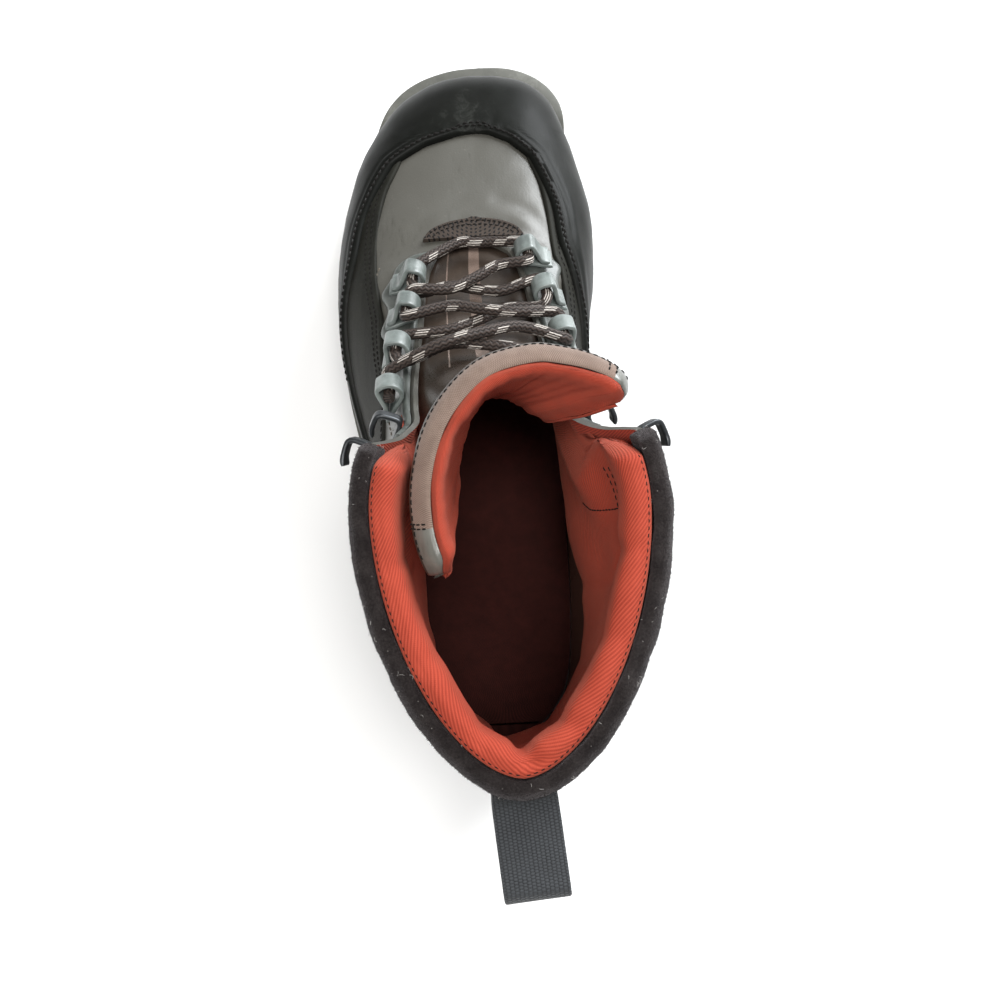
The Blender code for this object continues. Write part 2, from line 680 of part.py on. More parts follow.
def make_collar():
    """The pile cuff outside the collar, and the padded lining with its roll inside it."""
    parts = (0.0, 0.06, 0.16, 0.28, 0.42, 0.56, 0.7, 0.82, 0.92, 1.0)
    cuff, foot = CUFF_THICKNESS, LEATHER_DROP - CLEARANCE
    profile = (
        (foot, cuff), (foot, -CUFF_BULGE * 0.4), (0.75 * foot, -CUFF_BULGE), (0.35 * foot, -CUFF_BULGE * 0.7),
        (0.08 * foot, cuff * 0.1), (-0.06 * foot, cuff * 0.5), (0.0, cuff),
    )  # fmt: skip
    padded_edge("cuff", "cuff", profile, parts, lambda depth: FRONT_INSET)
    near, back = cuff + 2 * CLEARANCE, WALL + LINING_CLEARANCE
    roll, thin = cuff + CLEARANCE + ROLL_THICKNESS, back + LINING_THICKNESS
    crown = CUFF_BULGE + 0.6
    profile = (
        (LINING_DEPTH, back), (0.85 * LINING_DEPTH, back), (0.7 * LINING_DEPTH, back), (0.55 * LINING_DEPTH, back),
        (0.38 * LINING_DEPTH, back), (LEATHER_DROP + 1.6, back),
        (LEATHER_DROP + 0.6, near), (0.5 * LEATHER_DROP, near), (0.0, near + 0.2), (-crown, mix(near, roll, 0.3)),
        (-crown, mix(near, roll, 0.6)), (0.5, mix(near, roll, 0.9)), (6.0, roll), (12.0, mix(near, roll, 0.95)),
        (18.0, mix(thin, roll, 0.6)), (0.36 * LINING_DEPTH, mix(thin, roll, 0.2)), (0.55 * LINING_DEPTH, thin),
        (LINING_DEPTH, thin),
    )  # fmt: skip

    def front(depth):
        return FRONT_INSET + LINING_FRONT * smooth((depth - 22.0) / 28.0)

    padded_edge("collar_lining", "lining", profile, parts, front)


def tongue_grid(rows, columns):
    """Points over the front of the tongue, from its root under the vamp to its top edge."""
    grid = []
    for row in rows:
        cut = dict(zip(TONGUE_COLUMNS[1:], between(TONGUE, row)))
        free = smooth(cut["free"])
        line = []
        for column in columns:
            side = 0 if column < 0 else 1
            reach = BALL_WIDTH * abs(column) * cut["lateral" if side == 0 else "medial"]
            point = raised(row, side, length_share(row, side, reach), -WALL - TONGUE_CLEARANCE)
            if free > 0:
                end = "l" if side == 0 else "r"
                turn = math.radians(cut["turn_" + end]) * abs(column)
                slack = np.array([
                    BALL_WIDTH * (cut["mid_x"] + (-1 if side == 0 else 1) * cut["spread_" + end] * math.sin(turn)),
                    HEEL_BACK + UPPER_LENGTH * (cut["mid_y"] - cut["sweep_" + end] * (1 - math.cos(turn))),
                    HEEL_STACK + SHAFT_HEIGHT * (cut["mid_z"] - cut["drop_" + end] * column**2),
                ])
                point = mix(point, slack, free)
            line.append(point)
        grid.append(line)
    return np.array(grid)


def make_tongue():
    """The tongue: a textile and leather front, and the pad behind it."""
    rows = (6.35, 6.9, 7.5, 8.2, 9.0, 9.8, 10.5, 11.0, 11.4, 11.8, 12.2, 12.7, 13.3, 14.0, 14.6, 15.0)
    columns = (-1, -0.84, -0.66, -0.45, -0.22, 0, 0.25, 0.5, 0.76, 1)
    grid = tongue_grid(rows, columns)
    sheet_solid("tongue", "tongue", grid, lambda i, j: -TONGUE_SHELL, lambda i, j: 0.0)
    ends = (0, len(columns) - 1)
    last = len(rows) - 1

    def back(i, j):
        thick = TONGUE_PAD
        if j in ends or i in (0, last):
            thick *= 0.45
        if i < 7:
            thick *= 0.55
        return -TONGUE_SHELL - CLEARANCE - thick

    sheet_solid("tongue_lining", "lining", grid, back, lambda i, j: -TONGUE_SHELL - CLEARANCE)


def sole_stations():
    """Sections of the sole's outline, from the toe to the heel, with one at each step of its underside."""
    steps = [row_at_base(y) for y in (HEEL_FRONT, HEEL_FRONT + STEP_RUN, BALL_BACK)]
    fixed = [r for r in FOOT_ROWS if min(abs(r - step) for step in steps) > 0.12]
    return sorted(fixed + steps + [HEEL_ROW])


def ground(y):
    """How far the underside of the sole is above its plane: the arch behind the ball, and the toe spring."""
    if y < HEEL_FRONT:
        return 0.0
    if y < BALL_BACK:
        up = smooth((y - HEEL_FRONT) / STEP_RUN)
        down = smooth((BALL_BACK - y) / (0.75 * (BALL_BACK - HEEL_FRONT)))
        return ARCH_RISE * min(up, down)
    start = HEEL_BACK + 0.74 * UPPER_LENGTH
    return SOLE_TOE_LIFT * max((y - start) / (HEEL_BACK + UPPER_LENGTH - start), 0.0) ** 1.8


def outline(rows, height, offset):
    """Both sides of the sole's outline, offset outwards from the skin.

    height gives each point's z from its section, the feather line's z and the point's own y.
    """
    sides = []
    for side in (0, 1):
        line = []
        for row in rows:
            base = seat_height(row)
            rise = height(row, base, 0.0) - base
            if rise < 0.1:
                line.append(skin(row, side, 1.0))
            elif row < HEEL_ROW - 0.01:
                line.append(skin(row, side, share_at_height(row, side, base + rise)))
            else:
                line.append(skin(row_at_back(base + rise), side, 1.0))
        sides.append(line)
    loop = sides[0] + sides[1][-2:0:-1]
    plan = np.array([[p[0], p[1]] for p in loop])
    run = np.roll(plan, -1, axis=0) - np.roll(plan, 1, axis=0)
    out = np.stack([run[:, 1], -run[:, 0]], axis=1)
    out /= np.linalg.norm(out, axis=1, keepdims=True)
    made = []
    for row, point, way in zip(list(rows) + list(rows)[-2:0:-1], plan, out):
        place = point + way * offset(row)
        made.append(np.array([place[0], place[1], height(row, seat_height(row), place[1])]))
    return made


def seat_height(row):
    """The feather line's height, straight between the upper's own rows."""
    rows = FOOT_ROWS + (HEEL_ROW,)
    return float(np.interp(row, rows, [section_at(r)["base"][2] for r in rows]))


def sole_solid(name, finish, rows, rings):
    """A closed solid from a stack of outlines, closed by strips from side to side."""
    count, last = len(rings[0]), len(rows) - 1
    points = [p for ring in rings for p in ring]
    faces = []
    for i in range(len(rings) - 1):
        for j in range(count):
            k = (j + 1) % count
            faces.append([i * count + j, i * count + k, (i + 1) * count + k, (i + 1) * count + j])
    for base, flip in ((0, True), ((len(rings) - 1) * count, False)):
        for i in range(last):
            left, right = [i, i + 1], [(count - i) % count, (count - i - 1) % count]
            face = [left[0], left[1], right[1], right[0]]
            face = [base + v for n, v in enumerate(face) if v != face[n - 1]]
            parts = [face] if len(face) == 3 else [face[:3], [face[0], face[2], face[3]]]
            faces += [part[::-1] for part in parts] if flip else parts
    return add_solid(name, finish, points, faces)


def margin(row):
    return between(SOLE_MARGIN, row)[0]


def make_sole():
    """The lugged rubber outsole, the midsole with its toe rim, and the insole."""
    rows = sole_stations()
    plate = lambda y: LUG_HEIGHT + ground(y)
    rise = lambda y: ARCH_RISE * smooth((y - HEEL_FRONT + 12) / 26) if y < HEEL_FRONT + 20 else ground(y)
    sole_top = lambda y: LUG_HEIGHT + rise(y) + OUTSOLE_BASE
    rings = [
        outline(rows, lambda row, base, y: plate(y), lambda row: margin(row) - 0.8),
        outline(rows, lambda row, base, y: plate(y) + 0.4 * OUTSOLE_BASE, margin),
        outline(rows, lambda row, base, y: sole_top(y), margin),
    ]  # fmt: skip
    outsole = sole_solid("outsole", "outsole", rows, rings)
    unite(outsole, make_lugs(rows))

    lip = lambda row: mix(TOE_RIM_HEIGHT, SIDE_LIP_HEIGHT, smooth((row - 3.2) / 1.0))
    inner = lambda row: COVER + RAND_WALL + 2 * CLEARANCE + 0.8 * smooth(row - 12.8)
    groove = lambda row: margin(row) - GROOVE_DEPTH
    side = lambda t: lambda row, base, y: mix(sole_top(y) + SEAT_GAP, base, t)
    rings = [
        outline(rows, side(0.0), margin),
        outline(rows, side(0.35), margin),
        outline(rows, side(0.45), groove),
        outline(rows, side(0.55), groove),
        outline(rows, side(0.65), margin),
        outline(rows, lambda row, base, y: base + 0.5 * lip(row), margin),
        outline(rows, lambda row, base, y: base + lip(row), lambda row: margin(row) - 0.4),
        outline(rows, lambda row, base, y: base + lip(row), inner),
        outline(rows, lambda row, base, y: base - SEAT_GAP, inner),
    ]
    sole_solid("midsole", "midsole", rows, rings)

    inset = lambda row: -WALL - INSOLE_GAP
    rows = FOOT_ROWS[1:] + (HEEL_ROW,)
    rings = [
        outline(rows, lambda row, base, y: base, inset),
        outline(rows, lambda row, base, y: base + 0.7 * INSOLE_THICKNESS, inset),
        outline(rows, lambda row, base, y: base + INSOLE_THICKNESS, lambda row: inset(row) - 1.2),
    ]
    for ring in rings:
        ring[0] = (ring[1] + ring[-1]) / 2 + np.array([0, 1.0, 0])
    sole_solid("insole", "insole", rows, rings)


def make_lugs(rows):
    """The lugs: a ring of blocks that step out past the edge, and bars down the middle."""
    edge = outline(rows, lambda row, base, y: 0.0, margin)
    plan = np.array([[p[0], p[1]] for p in edge + edge[:1]])
    arc = np.concatenate([[0.0], np.cumsum(np.linalg.norm(np.diff(plan, axis=0), axis=1))])
    count = round(arc[-1] / LUG_PITCH)
    pitch = arc[-1] / count

    def at(s):
        s %= arc[-1]
        step = 2.0
        a, b = (s - step) % arc[-1], (s + step) % arc[-1]
        here = np.array([np.interp(s, arc, plan[:, k]) for k in (0, 1)])
        run = np.array([np.interp(b, arc, plan[:, k]) - np.interp(a, arc, plan[:, k]) for k in (0, 1)])
        out = np.array([run[1], -run[0]])
        return here, out / np.linalg.norm(out)

    blocks = []
    for i in range(count):
        start, end = (i + 0.5 - LUG_SHARE / 2) * pitch, (i + 0.5 + LUG_SHARE / 2) * pitch
        middle, _ = at((start + end) / 2)
        if HEEL_FRONT - 3 < middle[1] < BALL_BACK + 3:
            continue
        corners = []
        for s, depth in ((start, LUG_STEP), (end, LUG_STEP), (end - 1.5, -LUG_DEPTH), (start + 1.5, -LUG_DEPTH)):
            here, out = at(s)
            corners.append(here + out * depth)
        blocks.append((corners, OUTSOLE_BASE * 0.75))
    for y in (HEEL_BACK + 0.065 * UPPER_LENGTH, 0.0, -HEEL_BACK - 0.065 * UPPER_LENGTH):
        blocks.append((bar(0.0, y, 0.20 * BALL_WIDTH, 0.085 * BALL_WIDTH, 0.0), 1.0))
    for share in (0.50, 0.58, 0.66, 0.74, 0.82):
        cut = section_at(row_at_base(HEEL_BACK + share * UPPER_LENGTH))
        for way in (-1, 1):
            x = cut["base"][0] + way * 0.16 * BALL_WIDTH
            blocks.append((bar(x, cut["base"][1], 0.21 * BALL_WIDTH, 0.10 * BALL_WIDTH, way * 0.35), 1.0))
    points, faces = [], []
    for corners, sink in blocks:
        first = len(points)
        for low in (True, False):
            for x, y in corners:
                points.append((x, y, ground(y) + (0.0 if low else LUG_HEIGHT + sink)))
        faces += [[first + v for v in face] for face in ((3, 2, 1, 0), (4, 5, 6, 7))]
        faces += [[first + j, first + (j + 1) % 4, first + (j + 1) % 4 + 4, first + j + 4] for j in range(4)]
    return add_solid("lugs", "outsole", points, faces)


def bar(x, y, length, width, skew):
    """The corners of a bar across the sole, skewed so that one end is further forward."""
    corners = []
    for a, b in ((-1, -1), (1, -1), (1, 1), (-1, 1)):
        corners.append(np.array([x + a * length / 2, y + b * width / 2 + a * length / 2 * skew]))
    return corners


def surface_frame(row, side, offset, height):
    """A point beside the throat's edge, with the ways out, to the throat and to the toe there."""
    share = throat_share(row, side) + length_share(row, side, offset)
    origin = raised(row, side, share, height)
    out = skin_normal(row, side, share)
    throat = skin(row, side, max(share - 0.02, 0.0)) - skin(row, side, share + 0.02)
    throat -= out * (throat @ out)
    throat /= np.linalg.norm(throat)
    toe = np.cross(throat, out)
    if toe[1] < 0:
        toe = -toe
    return origin, out, throat, toe


def eye_path():
    """A band folded over into an eye: along the tab, round the lace and back on to the tab."""
    radius = EYE_RADIUS + EYE_WALL / 2
    middle = EYE_WALL / 2 + radius
    path = [(-EYE_TAB, EYE_WALL / 2), (-EYE_TAB / 2, EYE_WALL / 2)]
    for angle in np.linspace(-90, 105, 7):
        turn = math.radians(angle)
        path.append((radius * math.cos(turn), middle + radius * math.sin(turn)))
    path.append((-radius * 1.35, 1.9 * EYE_WALL + CLEARANCE))
    path.append((-EYE_TAB * 0.85, 1.5 * EYE_WALL + CLEARANCE))
    return path


def make_eyes():
    """The folded lace eyes on both eyestays; gives the place of each one's hole and its way forward."""
    places = []
    height = COVER + EYESTAY_WALL + 2 * CLEARANCE
    for i, pair in enumerate(EYES):
        for side, row in enumerate(pair):
            origin, out, throat, toe = surface_frame(row, side, EYESTAY_INSET + 1.0, height)
            name = f"lace_eye_{('lateral', 'medial')[side]}_{i + 1}"
            strip_solid(name, "eye", eye_path(), EYE_WALL, EYE_LENGTH, origin, throat, out, toe)
            places.append((i, side, row, origin + out * (EYE_WALL + EYE_RADIUS), toe, out, throat))
    return places


def make_hooks():
    """Speed hooks near the front corners of the collar: a plate on the eyestay and an arm that bends back."""
    bend = 2.2
    for i, height in enumerate(HOOK_HEIGHTS):
        for side in (0, 1):
            row = row_at_height(side, 0.0, HEEL_STACK + SHAFT_HEIGHT * height)
            seat = COVER + EYESTAY_WALL + CLEARANCE if row < 15.2 else CLEARANCE
            origin, out, throat, toe = surface_frame(row, side, EYESTAY_INSET + 1.0, seat)
            path = [(-HOOK_TAIL, 0), (-HOOK_TAIL / 2, 0), (-bend, 0)]
            path += [(-bend * 0.3, bend * 0.3), (0, bend), (0, HOOK_REACH - bend), (-bend * 0.3, HOOK_REACH - bend * 0.3)]
            path += [(-bend, HOOK_REACH), (-0.6 * HOOK_TAIL, HOOK_REACH), (-0.85 * HOOK_TAIL, HOOK_REACH - 1.0)]
            path = [(a, b + HOOK_THICKNESS / 2) for a, b in path]
            name = f"lace_hook_{('lateral', 'medial')[side]}_{i + 1}"
            strip_solid(name, "hook", path, HOOK_THICKNESS, HOOK_WIDTH, origin, throat, out, toe)


def smooth_line(points, cuts):
    """A smooth curve through the given points, with each stretch between them cut into so many."""
    points = np.asarray(points)
    line = [points[0]]
    for i, count in enumerate(cuts):
        line += [catmull_rom(points, i + k / count) for k in range(1, count + 1)]
    return np.array(line)


def tube(name, finish, line, radius, sides):
    """A round tube along a line of points."""
    run = np.gradient(line, axis=0)
    run /= np.linalg.norm(run, axis=1, keepdims=True)
    up = np.cross(run[0], [0.0, 0.0, 1.0])
    rings = []
    for point, way in zip(line, run):
        up = up - way * (up @ way)
        up /= np.linalg.norm(up)
        other = np.cross(way, up)
        turns = [2 * math.pi * k / sides for k in range(sides)]
        rings.append([point + radius * (up * math.cos(a) + other * math.sin(a)) for a in turns])
    return ring_solid(name, finish, rings)


def make_lace(places):
    """One lace, crossed between the eyes; at each crossing one run goes over the other."""
    eyes = {(i, side): rest for i, side, *rest in places}
    radius = LACE_DIAMETER / 2
    over, under = LACE_RISE + LACE_DIAMETER + CLEARANCE, LACE_RISE
    points, cuts = [], []

    def add(point, count):
        points.append(point)
        if len(points) > 1:
            cuts.append(count)

    def through(i, side, way):
        row, place, toe, out, throat = eyes[(i, side)]
        for n, t in enumerate((-1.5, -0.8, 0.8, 1.5)):
            add(place + toe * (EYE_LENGTH / 2) * t * way, 1 if n else 2)

    def beside(eye, way, lift):
        row, place, toe, out, throat = eyes[eye]
        return place + toe * way * (0.75 * EYE_LENGTH + 3.0) + throat * 0.6 * LACE_DIAMETER + out * lift

    def across(a, b, way, lift):
        end = 0.35 * LACE_DIAMETER if lift == over else -0.7 * LACE_DIAMETER
        add(beside(a, way, end), 1)
        for t, side in ((0.27, a[1]), (0.5, b[1]), (0.73, b[1])):
            row = mix(eyes[a][0], eyes[b][0], t)
            share = throat_share(row, side) * abs(1 - 2 * t)
            add(raised(row, side, share, lift + (0.0 if t == 0.5 else 0.5)), 2)
        add(beside(b, -way, end), 2)

    last = len(EYES) - 1
    order = [(i, (i + 1) % 2 if last % 2 else i % 2) for i in range(last, -1, -1)]
    back = [(i, 1 - side) for i, side in reversed(order)]
    for a, b in zip(order, order[1:]):
        through(*a, 1)
        across(a, b, 1, over)
    through(*order[-1], 1)
    bar_row = min(EYES[0]) - 0.42
    for side, share in ((order[-1][1], 0.5), (0, 0.0), (back[0][1], 0.5)):
        add(raised(bar_row, side, share * length_share(bar_row, side, 14.0), LACE_RISE + 2.0), 2)
    through(*back[0], -1)
    for a, b in zip(back, back[1:]):
        across(a, b, -1, under)
        through(*b, -1)
    tube("lace", "lace", smooth_line(points, cuts), radius, 6)


def make_pull_loop():
    """A webbing loop whose two ends are sewn on up the back of the shaft."""
    top = COLLAR_TOP - LEATHER_DROP - 2.0
    low = top - 0.12 * SHAFT_HEIGHT
    back = lambda z: section_at(row_at_back(z))["base"]
    seat = back(low)
    gap = CLEARANCE + WEBBING_THICKNESS / 2
    far = WEBBING_REACH
    level, opening = top - 6.0, WEBBING_OPENING + WEBBING_THICKNESS
    out = lambda z: seat[1] - back(z)[1]
    second = gap + WEBBING_THICKNESS + 2 * CLEARANCE
    path = [(out(low) + second, low), (out(mix(low, level, 0.5)) + second, mix(low, level, 0.5))]
    path += [(out(level) + second + 0.6, level - 4.5), (second + 3.0, level - 1.4), (second + 7.0, level)]
    path += [(0.6 * far, level)]
    for angle in np.linspace(-90, 90, 6):
        turn = math.radians(angle)
        path.append((far - opening / 2 + opening / 2 * math.cos(turn), level + opening / 2 + opening / 2 * math.sin(turn)))
    path += [(0.6 * far, level + opening), (0.36 * far, level + opening), (gap + 4.0, level + opening - 2.0)]
    path += [(out(level) + gap + 0.7, level + 0.6), (out(mix(low, level, 0.5)) + gap, mix(low, level, 0.5))]
    path += [(out(low) + gap, low)]
    lean = math.radians(PULL_LEAN)
    away = np.array([math.sin(lean), -math.cos(lean), 0.0])
    across = np.array([math.cos(lean), math.sin(lean), 0.0])
    origin = np.array([seat[0], seat[1], 0.0])
    strip_solid("pull_loop", "webbing", path, WEBBING_THICKNESS, WEBBING_WIDTH, origin, away, np.array([0, 0, 1.0]), across)


def main():
    clear_scene()
    make_sole()
    make_upper()
    make_rand()
    make_counter()
    make_guards()
    make_collar()
    make_tongue()
    make_lace(make_eyes())
    make_hooks()
    make_pull_loop()


main()
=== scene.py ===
"""The looks of the lace-up wading boot: every visible piece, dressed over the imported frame.

The boot's forms come from the same sections, edges and outlines as its solids. Lengths are in
millimetres and are turned into metres when a mesh is made.
"""

import math
from functools import lru_cache

import bmesh
import bpy
import numpy as np
from mathutils import Matrix, Vector
from mathutils.bvhtree import BVHTree


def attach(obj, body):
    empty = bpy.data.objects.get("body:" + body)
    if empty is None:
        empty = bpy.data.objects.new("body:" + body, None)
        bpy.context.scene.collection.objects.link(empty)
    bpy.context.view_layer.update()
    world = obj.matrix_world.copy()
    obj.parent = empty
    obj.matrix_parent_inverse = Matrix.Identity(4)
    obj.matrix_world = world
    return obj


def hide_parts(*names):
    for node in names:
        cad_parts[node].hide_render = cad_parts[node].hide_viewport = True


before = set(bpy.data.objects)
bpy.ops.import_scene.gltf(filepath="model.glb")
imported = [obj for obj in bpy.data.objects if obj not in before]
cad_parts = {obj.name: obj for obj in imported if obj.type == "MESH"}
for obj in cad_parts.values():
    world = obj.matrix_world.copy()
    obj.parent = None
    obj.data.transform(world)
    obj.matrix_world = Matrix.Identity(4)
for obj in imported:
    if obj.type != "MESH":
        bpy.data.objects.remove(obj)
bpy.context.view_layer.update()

MM = 0.001

# Driving dimensions, in millimetres.
UPPER_LENGTH = 301.0
HEEL_BACK = -44.0
BALL_WIDTH = 108.0
SHAFT_HEIGHT = 167.0
HEEL_STACK = 38.0
FORE_STACK = 27.0
TOE_SPRING = 6.0
WALL = 2.4
CLEARANCE = 0.3
COVER = 0.85
SEAM_GAP = 1.2
EDGE_LIFT = 1.4
SEAT_GAP = 0.4

RAND_WALL = 2.2
RAND_HEEL = 19.0
COUNTER_WALL = 1.6
COUNTER_HEIGHT = 60.0
GUARD_WALL = 1.2
GUARD_WIDTH = 21.0
EYESTAY_WALL = 1.2
EYESTAY_WIDTH = 21.0
EYESTAY_INSET = 1.5
LEATHER_DROP = 12.0
CUFF_THICKNESS = 5.6
CUFF_BULGE = 1.5
ROLL_THICKNESS = 9.4
LINING_THICKNESS = 5.0
LINING_DEPTH = 78.0
LINING_FRONT = 20.0
LINING_CLEARANCE = 3.6
FRONT_INSET = 1.0
TONGUE_SHELL = 1.8
TONGUE_PAD = 8.5
TONGUE_CLEARANCE = 1.3

LUG_HEIGHT = 5.0

OUTSOLE_BASE = 4.5
SOLE_TOE_LIFT = 12.0
HEEL_FRONT = 36.0
BALL_BACK = 100.0
STEP_RUN = 7.0
ARCH_RISE = 9.0
INSOLE_THICKNESS = 4.5

TOE_RIM_HEIGHT = 8.0
SIDE_LIP_HEIGHT = 2.0
GROOVE_DEPTH = 1.8

LACE_DIAMETER = 4.4
LACE_RISE = 1.2
EYE_RADIUS = 3.6
EYE_WALL = 1.7
EYE_LENGTH = 6.5
EYE_TAB = 11.0
HOOK_WIDTH = 5.0
HOOK_THICKNESS = 2.2
HOOK_REACH = 9.0
HOOK_TAIL = 11.0
WEBBING_WIDTH = 21.0
WEBBING_THICKNESS = 1.8
WEBBING_REACH = 34.0
WEBBING_OPENING = 6.5
PULL_LEAN = 5.0

COLLAR_TOP = HEEL_STACK + SHAFT_HEIGHT

# Each row is one section of the upper. Lengths are shares of the named sizes: front_y and base_y of
# UPPER_LENGTH from the back of the heel, front_z and rise of SHAFT_HEIGHT above the heel seat, and
# the x columns of BALL_WIDTH. ramp goes from the forefoot's stack (0) to the heel's (1), and spring
# is the share of the toe spring. widest is the share of the depth where the section is widest,
# foot the square of the share of that width left at the base, and crown and heel round its ends.
SECTION_COLUMNS = (
    "front_y front_z base_y ramp spring rise front_x base_x left right widest foot crown heel"
).split()
SECTIONS = (
    (0.987, 0.060, 1.000, 0.00, 1.00, 0.000, 0.019, 0.019, 0.000, 0.000, 0.50, 1.00, 2.3, 2.4),
    (0.982, 0.102, 0.997, 0.00, 1.00, 0.000, 0.019, 0.019, 0.115, 0.105, 0.55, 0.92, 2.4, 2.4),
    (0.966, 0.141, 0.984, 0.00, 0.95, 0.000, 0.009, 0.009, 0.225, 0.205, 0.58, 0.92, 2.6, 2.4),
    (0.935, 0.174, 0.958, 0.00, 0.85, 0.000, 0.000, 0.000, 0.318, 0.285, 0.60, 0.92, 2.8, 2.4),
    (0.889, 0.204, 0.915, 0.00, 0.65, 0.000, -0.009, -0.019, 0.393, 0.345, 0.60, 0.92, 3.0, 2.4),
    (0.830, 0.237, 0.850, 0.00, 0.42, 0.000, -0.019, -0.037, 0.460, 0.402, 0.60, 0.92, 3.0, 2.4),
    (0.758, 0.275, 0.765, 0.00, 0.20, 0.000, -0.028, -0.060, 0.500, 0.460, 0.60, 0.92, 2.9, 2.4),
    (0.690, 0.323, 0.667, 0.02, 0.05, 0.000, -0.037, -0.079, 0.515, 0.471, 0.60, 0.90, 2.7, 2.4),
    (0.624, 0.392, 0.562, 0.15, 0.00, 0.000, -0.037, -0.083, 0.508, 0.440, 0.60, 0.90, 2.5, 2.3),
    (0.565, 0.479, 0.444, 0.50, 0.00, 0.000, -0.028, -0.065, 0.468, 0.398, 0.58, 0.88, 2.4, 2.3),
    (0.520, 0.575, 0.324, 0.85, 0.00, 0.000, -0.019, -0.028, 0.417, 0.361, 0.55, 0.85, 2.4, 2.2),
    (0.487, 0.671, 0.190, 1.00, 0.00, 0.000, -0.009, -0.009, 0.384, 0.352, 0.52, 0.79, 2.4, 2.2),
    (0.471, 0.749, 0.085, 1.00, 0.00, 0.000, 0.000, 0.000, 0.366, 0.347, 0.50, 0.62, 2.4, 2.2),
    (0.464, 0.796, 0.029, 1.00, 0.00, 0.000, 0.009, 0.000, 0.361, 0.352, 0.50, 0.27, 2.4, 2.2),
    (0.461, 0.832, 0.000, 1.00, 0.00, 0.000, 0.014, 0.000, 0.366, 0.361, 0.49, 0.00, 2.4, 2.2),
    (0.459, 0.874, -0.013, 1.00, 0.00, 0.138, 0.019, 0.000, 0.375, 0.380, 0.47, 0.00, 2.4, 2.1),
    (0.461, 0.910, -0.008, 1.00, 0.00, 0.329, 0.028, 0.009, 0.389, 0.403, 0.45, 0.00, 2.3, 2.0),
    (0.464, 0.946, 0.000, 1.00, 0.00, 0.581, 0.032, 0.028, 0.417, 0.435, 0.42, 0.00, 2.2, 1.9),
    (0.469, 0.970, -0.003, 1.00, 0.00, 0.802, 0.037, 0.037, 0.444, 0.458, 0.40, 0.00, 2.1, 1.8),
    (0.471, 0.994, -0.010, 1.00, 0.00, 1.000, 0.041, 0.041, 0.463, 0.463, 0.39, 0.00, 2.0, 1.8),
)
COLLAR_ROW = float(len(SECTIONS) - 1)
HEEL_ROW = 14.0

# Half of the throat's opening, measured over the skin from the front line, in shares of BALL_WIDTH.
THROAT_ROW = 6.9
THROAT = (
    # section, lateral, medial
    (6.90, 0.000, 0.000),
    (6.97, 0.085, 0.075),
    (7.15, 0.140, 0.130),
    (7.50, 0.170, 0.165),
    (8.00, 0.190, 0.190),
    (9.00, 0.215, 0.220),
    (10.0, 0.250, 0.255),
    (11.0, 0.296, 0.300),
    (12.0, 0.333, 0.335),
    (14.0, 0.380, 0.385),
    (16.0, 0.454, 0.460),
    (19.0, 0.574, 0.580),
)

# The top edge of the rubber rand, as a share of each section's half curve from the front line.
TOE_CAP_ROW = 4.25
RAND_EDGE = (
    # section, lateral, medial
    (4.25, 0.000, 0.000),
    (4.32, 0.110, 0.090),
    (4.55, 0.260, 0.190),
    (5.00, 0.400, 0.290),
    (6.00, 0.480, 0.350),
    (7.00, 0.500, 0.365),
    (8.00, 0.560, 0.440),
    (9.00, 0.650, 0.560),
    (10.0, 0.750, 0.700),
    (11.0, 0.830, 0.810),
    (12.0, 0.865, 0.855),
    (13.0, 0.885, 0.880),
    (14.0, 0.905, 0.905),
)

# The sole stands out past the feather line by these amounts, in millimetres.
SOLE_MARGIN = (
    # section, margin
    (0.0, 9.0),
    (3.0, 8.0),
    (4.5, 5.8),
    (6.0, 5.2),
    (8.0, 5.2),
    (10.0, 5.2),
    (12.0, 5.8),
    (14.0, 6.8),
)

# The front of the tongue, from its root under the vamp to its top edge. Rows follow the upper's
# sections. lateral and medial are its reach over the skin, in shares of BALL_WIDTH. free goes from
# the upper's own form (0) to the slack form of the worn tongue (1): a middle point and an elliptic
# wing on each side. x and spread are shares of BALL_WIDTH, y and sweep of UPPER_LENGTH, z and drop
# of SHAFT_HEIGHT, and turn is the wing's arc in degrees.
TONGUE_COLUMNS = (
    "section lateral medial free mid_x mid_y mid_z spread_l sweep_l turn_l drop_l spread_r sweep_r turn_r drop_r"
).split()
TONGUE = (
    (6.35, 0.20, 0.20, 0.0, 0.00, 0.470, 0.690, 0.30, 0.120, 90, 0.03, 0.28, 0.080, 70, 0.03),
    (7.00, 0.26, 0.26, 0.0, 0.00, 0.470, 0.690, 0.30, 0.120, 90, 0.03, 0.28, 0.080, 70, 0.03),
    (8.00, 0.29, 0.29, 0.0, 0.00, 0.470, 0.690, 0.30, 0.120, 90, 0.03, 0.28, 0.080, 70, 0.03),
    (9.00, 0.31, 0.31, 0.0, 0.00, 0.470, 0.690, 0.30, 0.120, 90, 0.03, 0.28, 0.080, 70, 0.03),
    (10.0, 0.33, 0.33, 0.0, 0.00, 0.470, 0.690, 0.30, 0.120, 90, 0.03, 0.28, 0.080, 70, 0.03),
    (11.0, 0.35, 0.35, 0.2, 0.00, 0.470, 0.690, 0.24, 0.120, 90, 0.03, 0.21, 0.080, 70, 0.03),
    (12.0, 0.36, 0.36, 1.0, 0.02, 0.462, 0.770, 0.222, 0.130, 96, 0.03, 0.235, 0.085, 70, 0.02),
    (13.0, 0.38, 0.38, 1.0, 0.06, 0.458, 0.855, 0.285, 0.150, 110, 0.02, 0.27, 0.085, 72, 0.01),
    (14.0, 0.40, 0.40, 1.0, 0.10, 0.457, 0.935, 0.34, 0.160, 118, 0.01, 0.31, 0.080, 74, 0.00),
    (15.0, 0.42, 0.42, 1.0, 0.12, 0.455, 1.010, 0.365, 0.165, 120, 0.00, 0.36, 0.080, 75, 0.00),
)

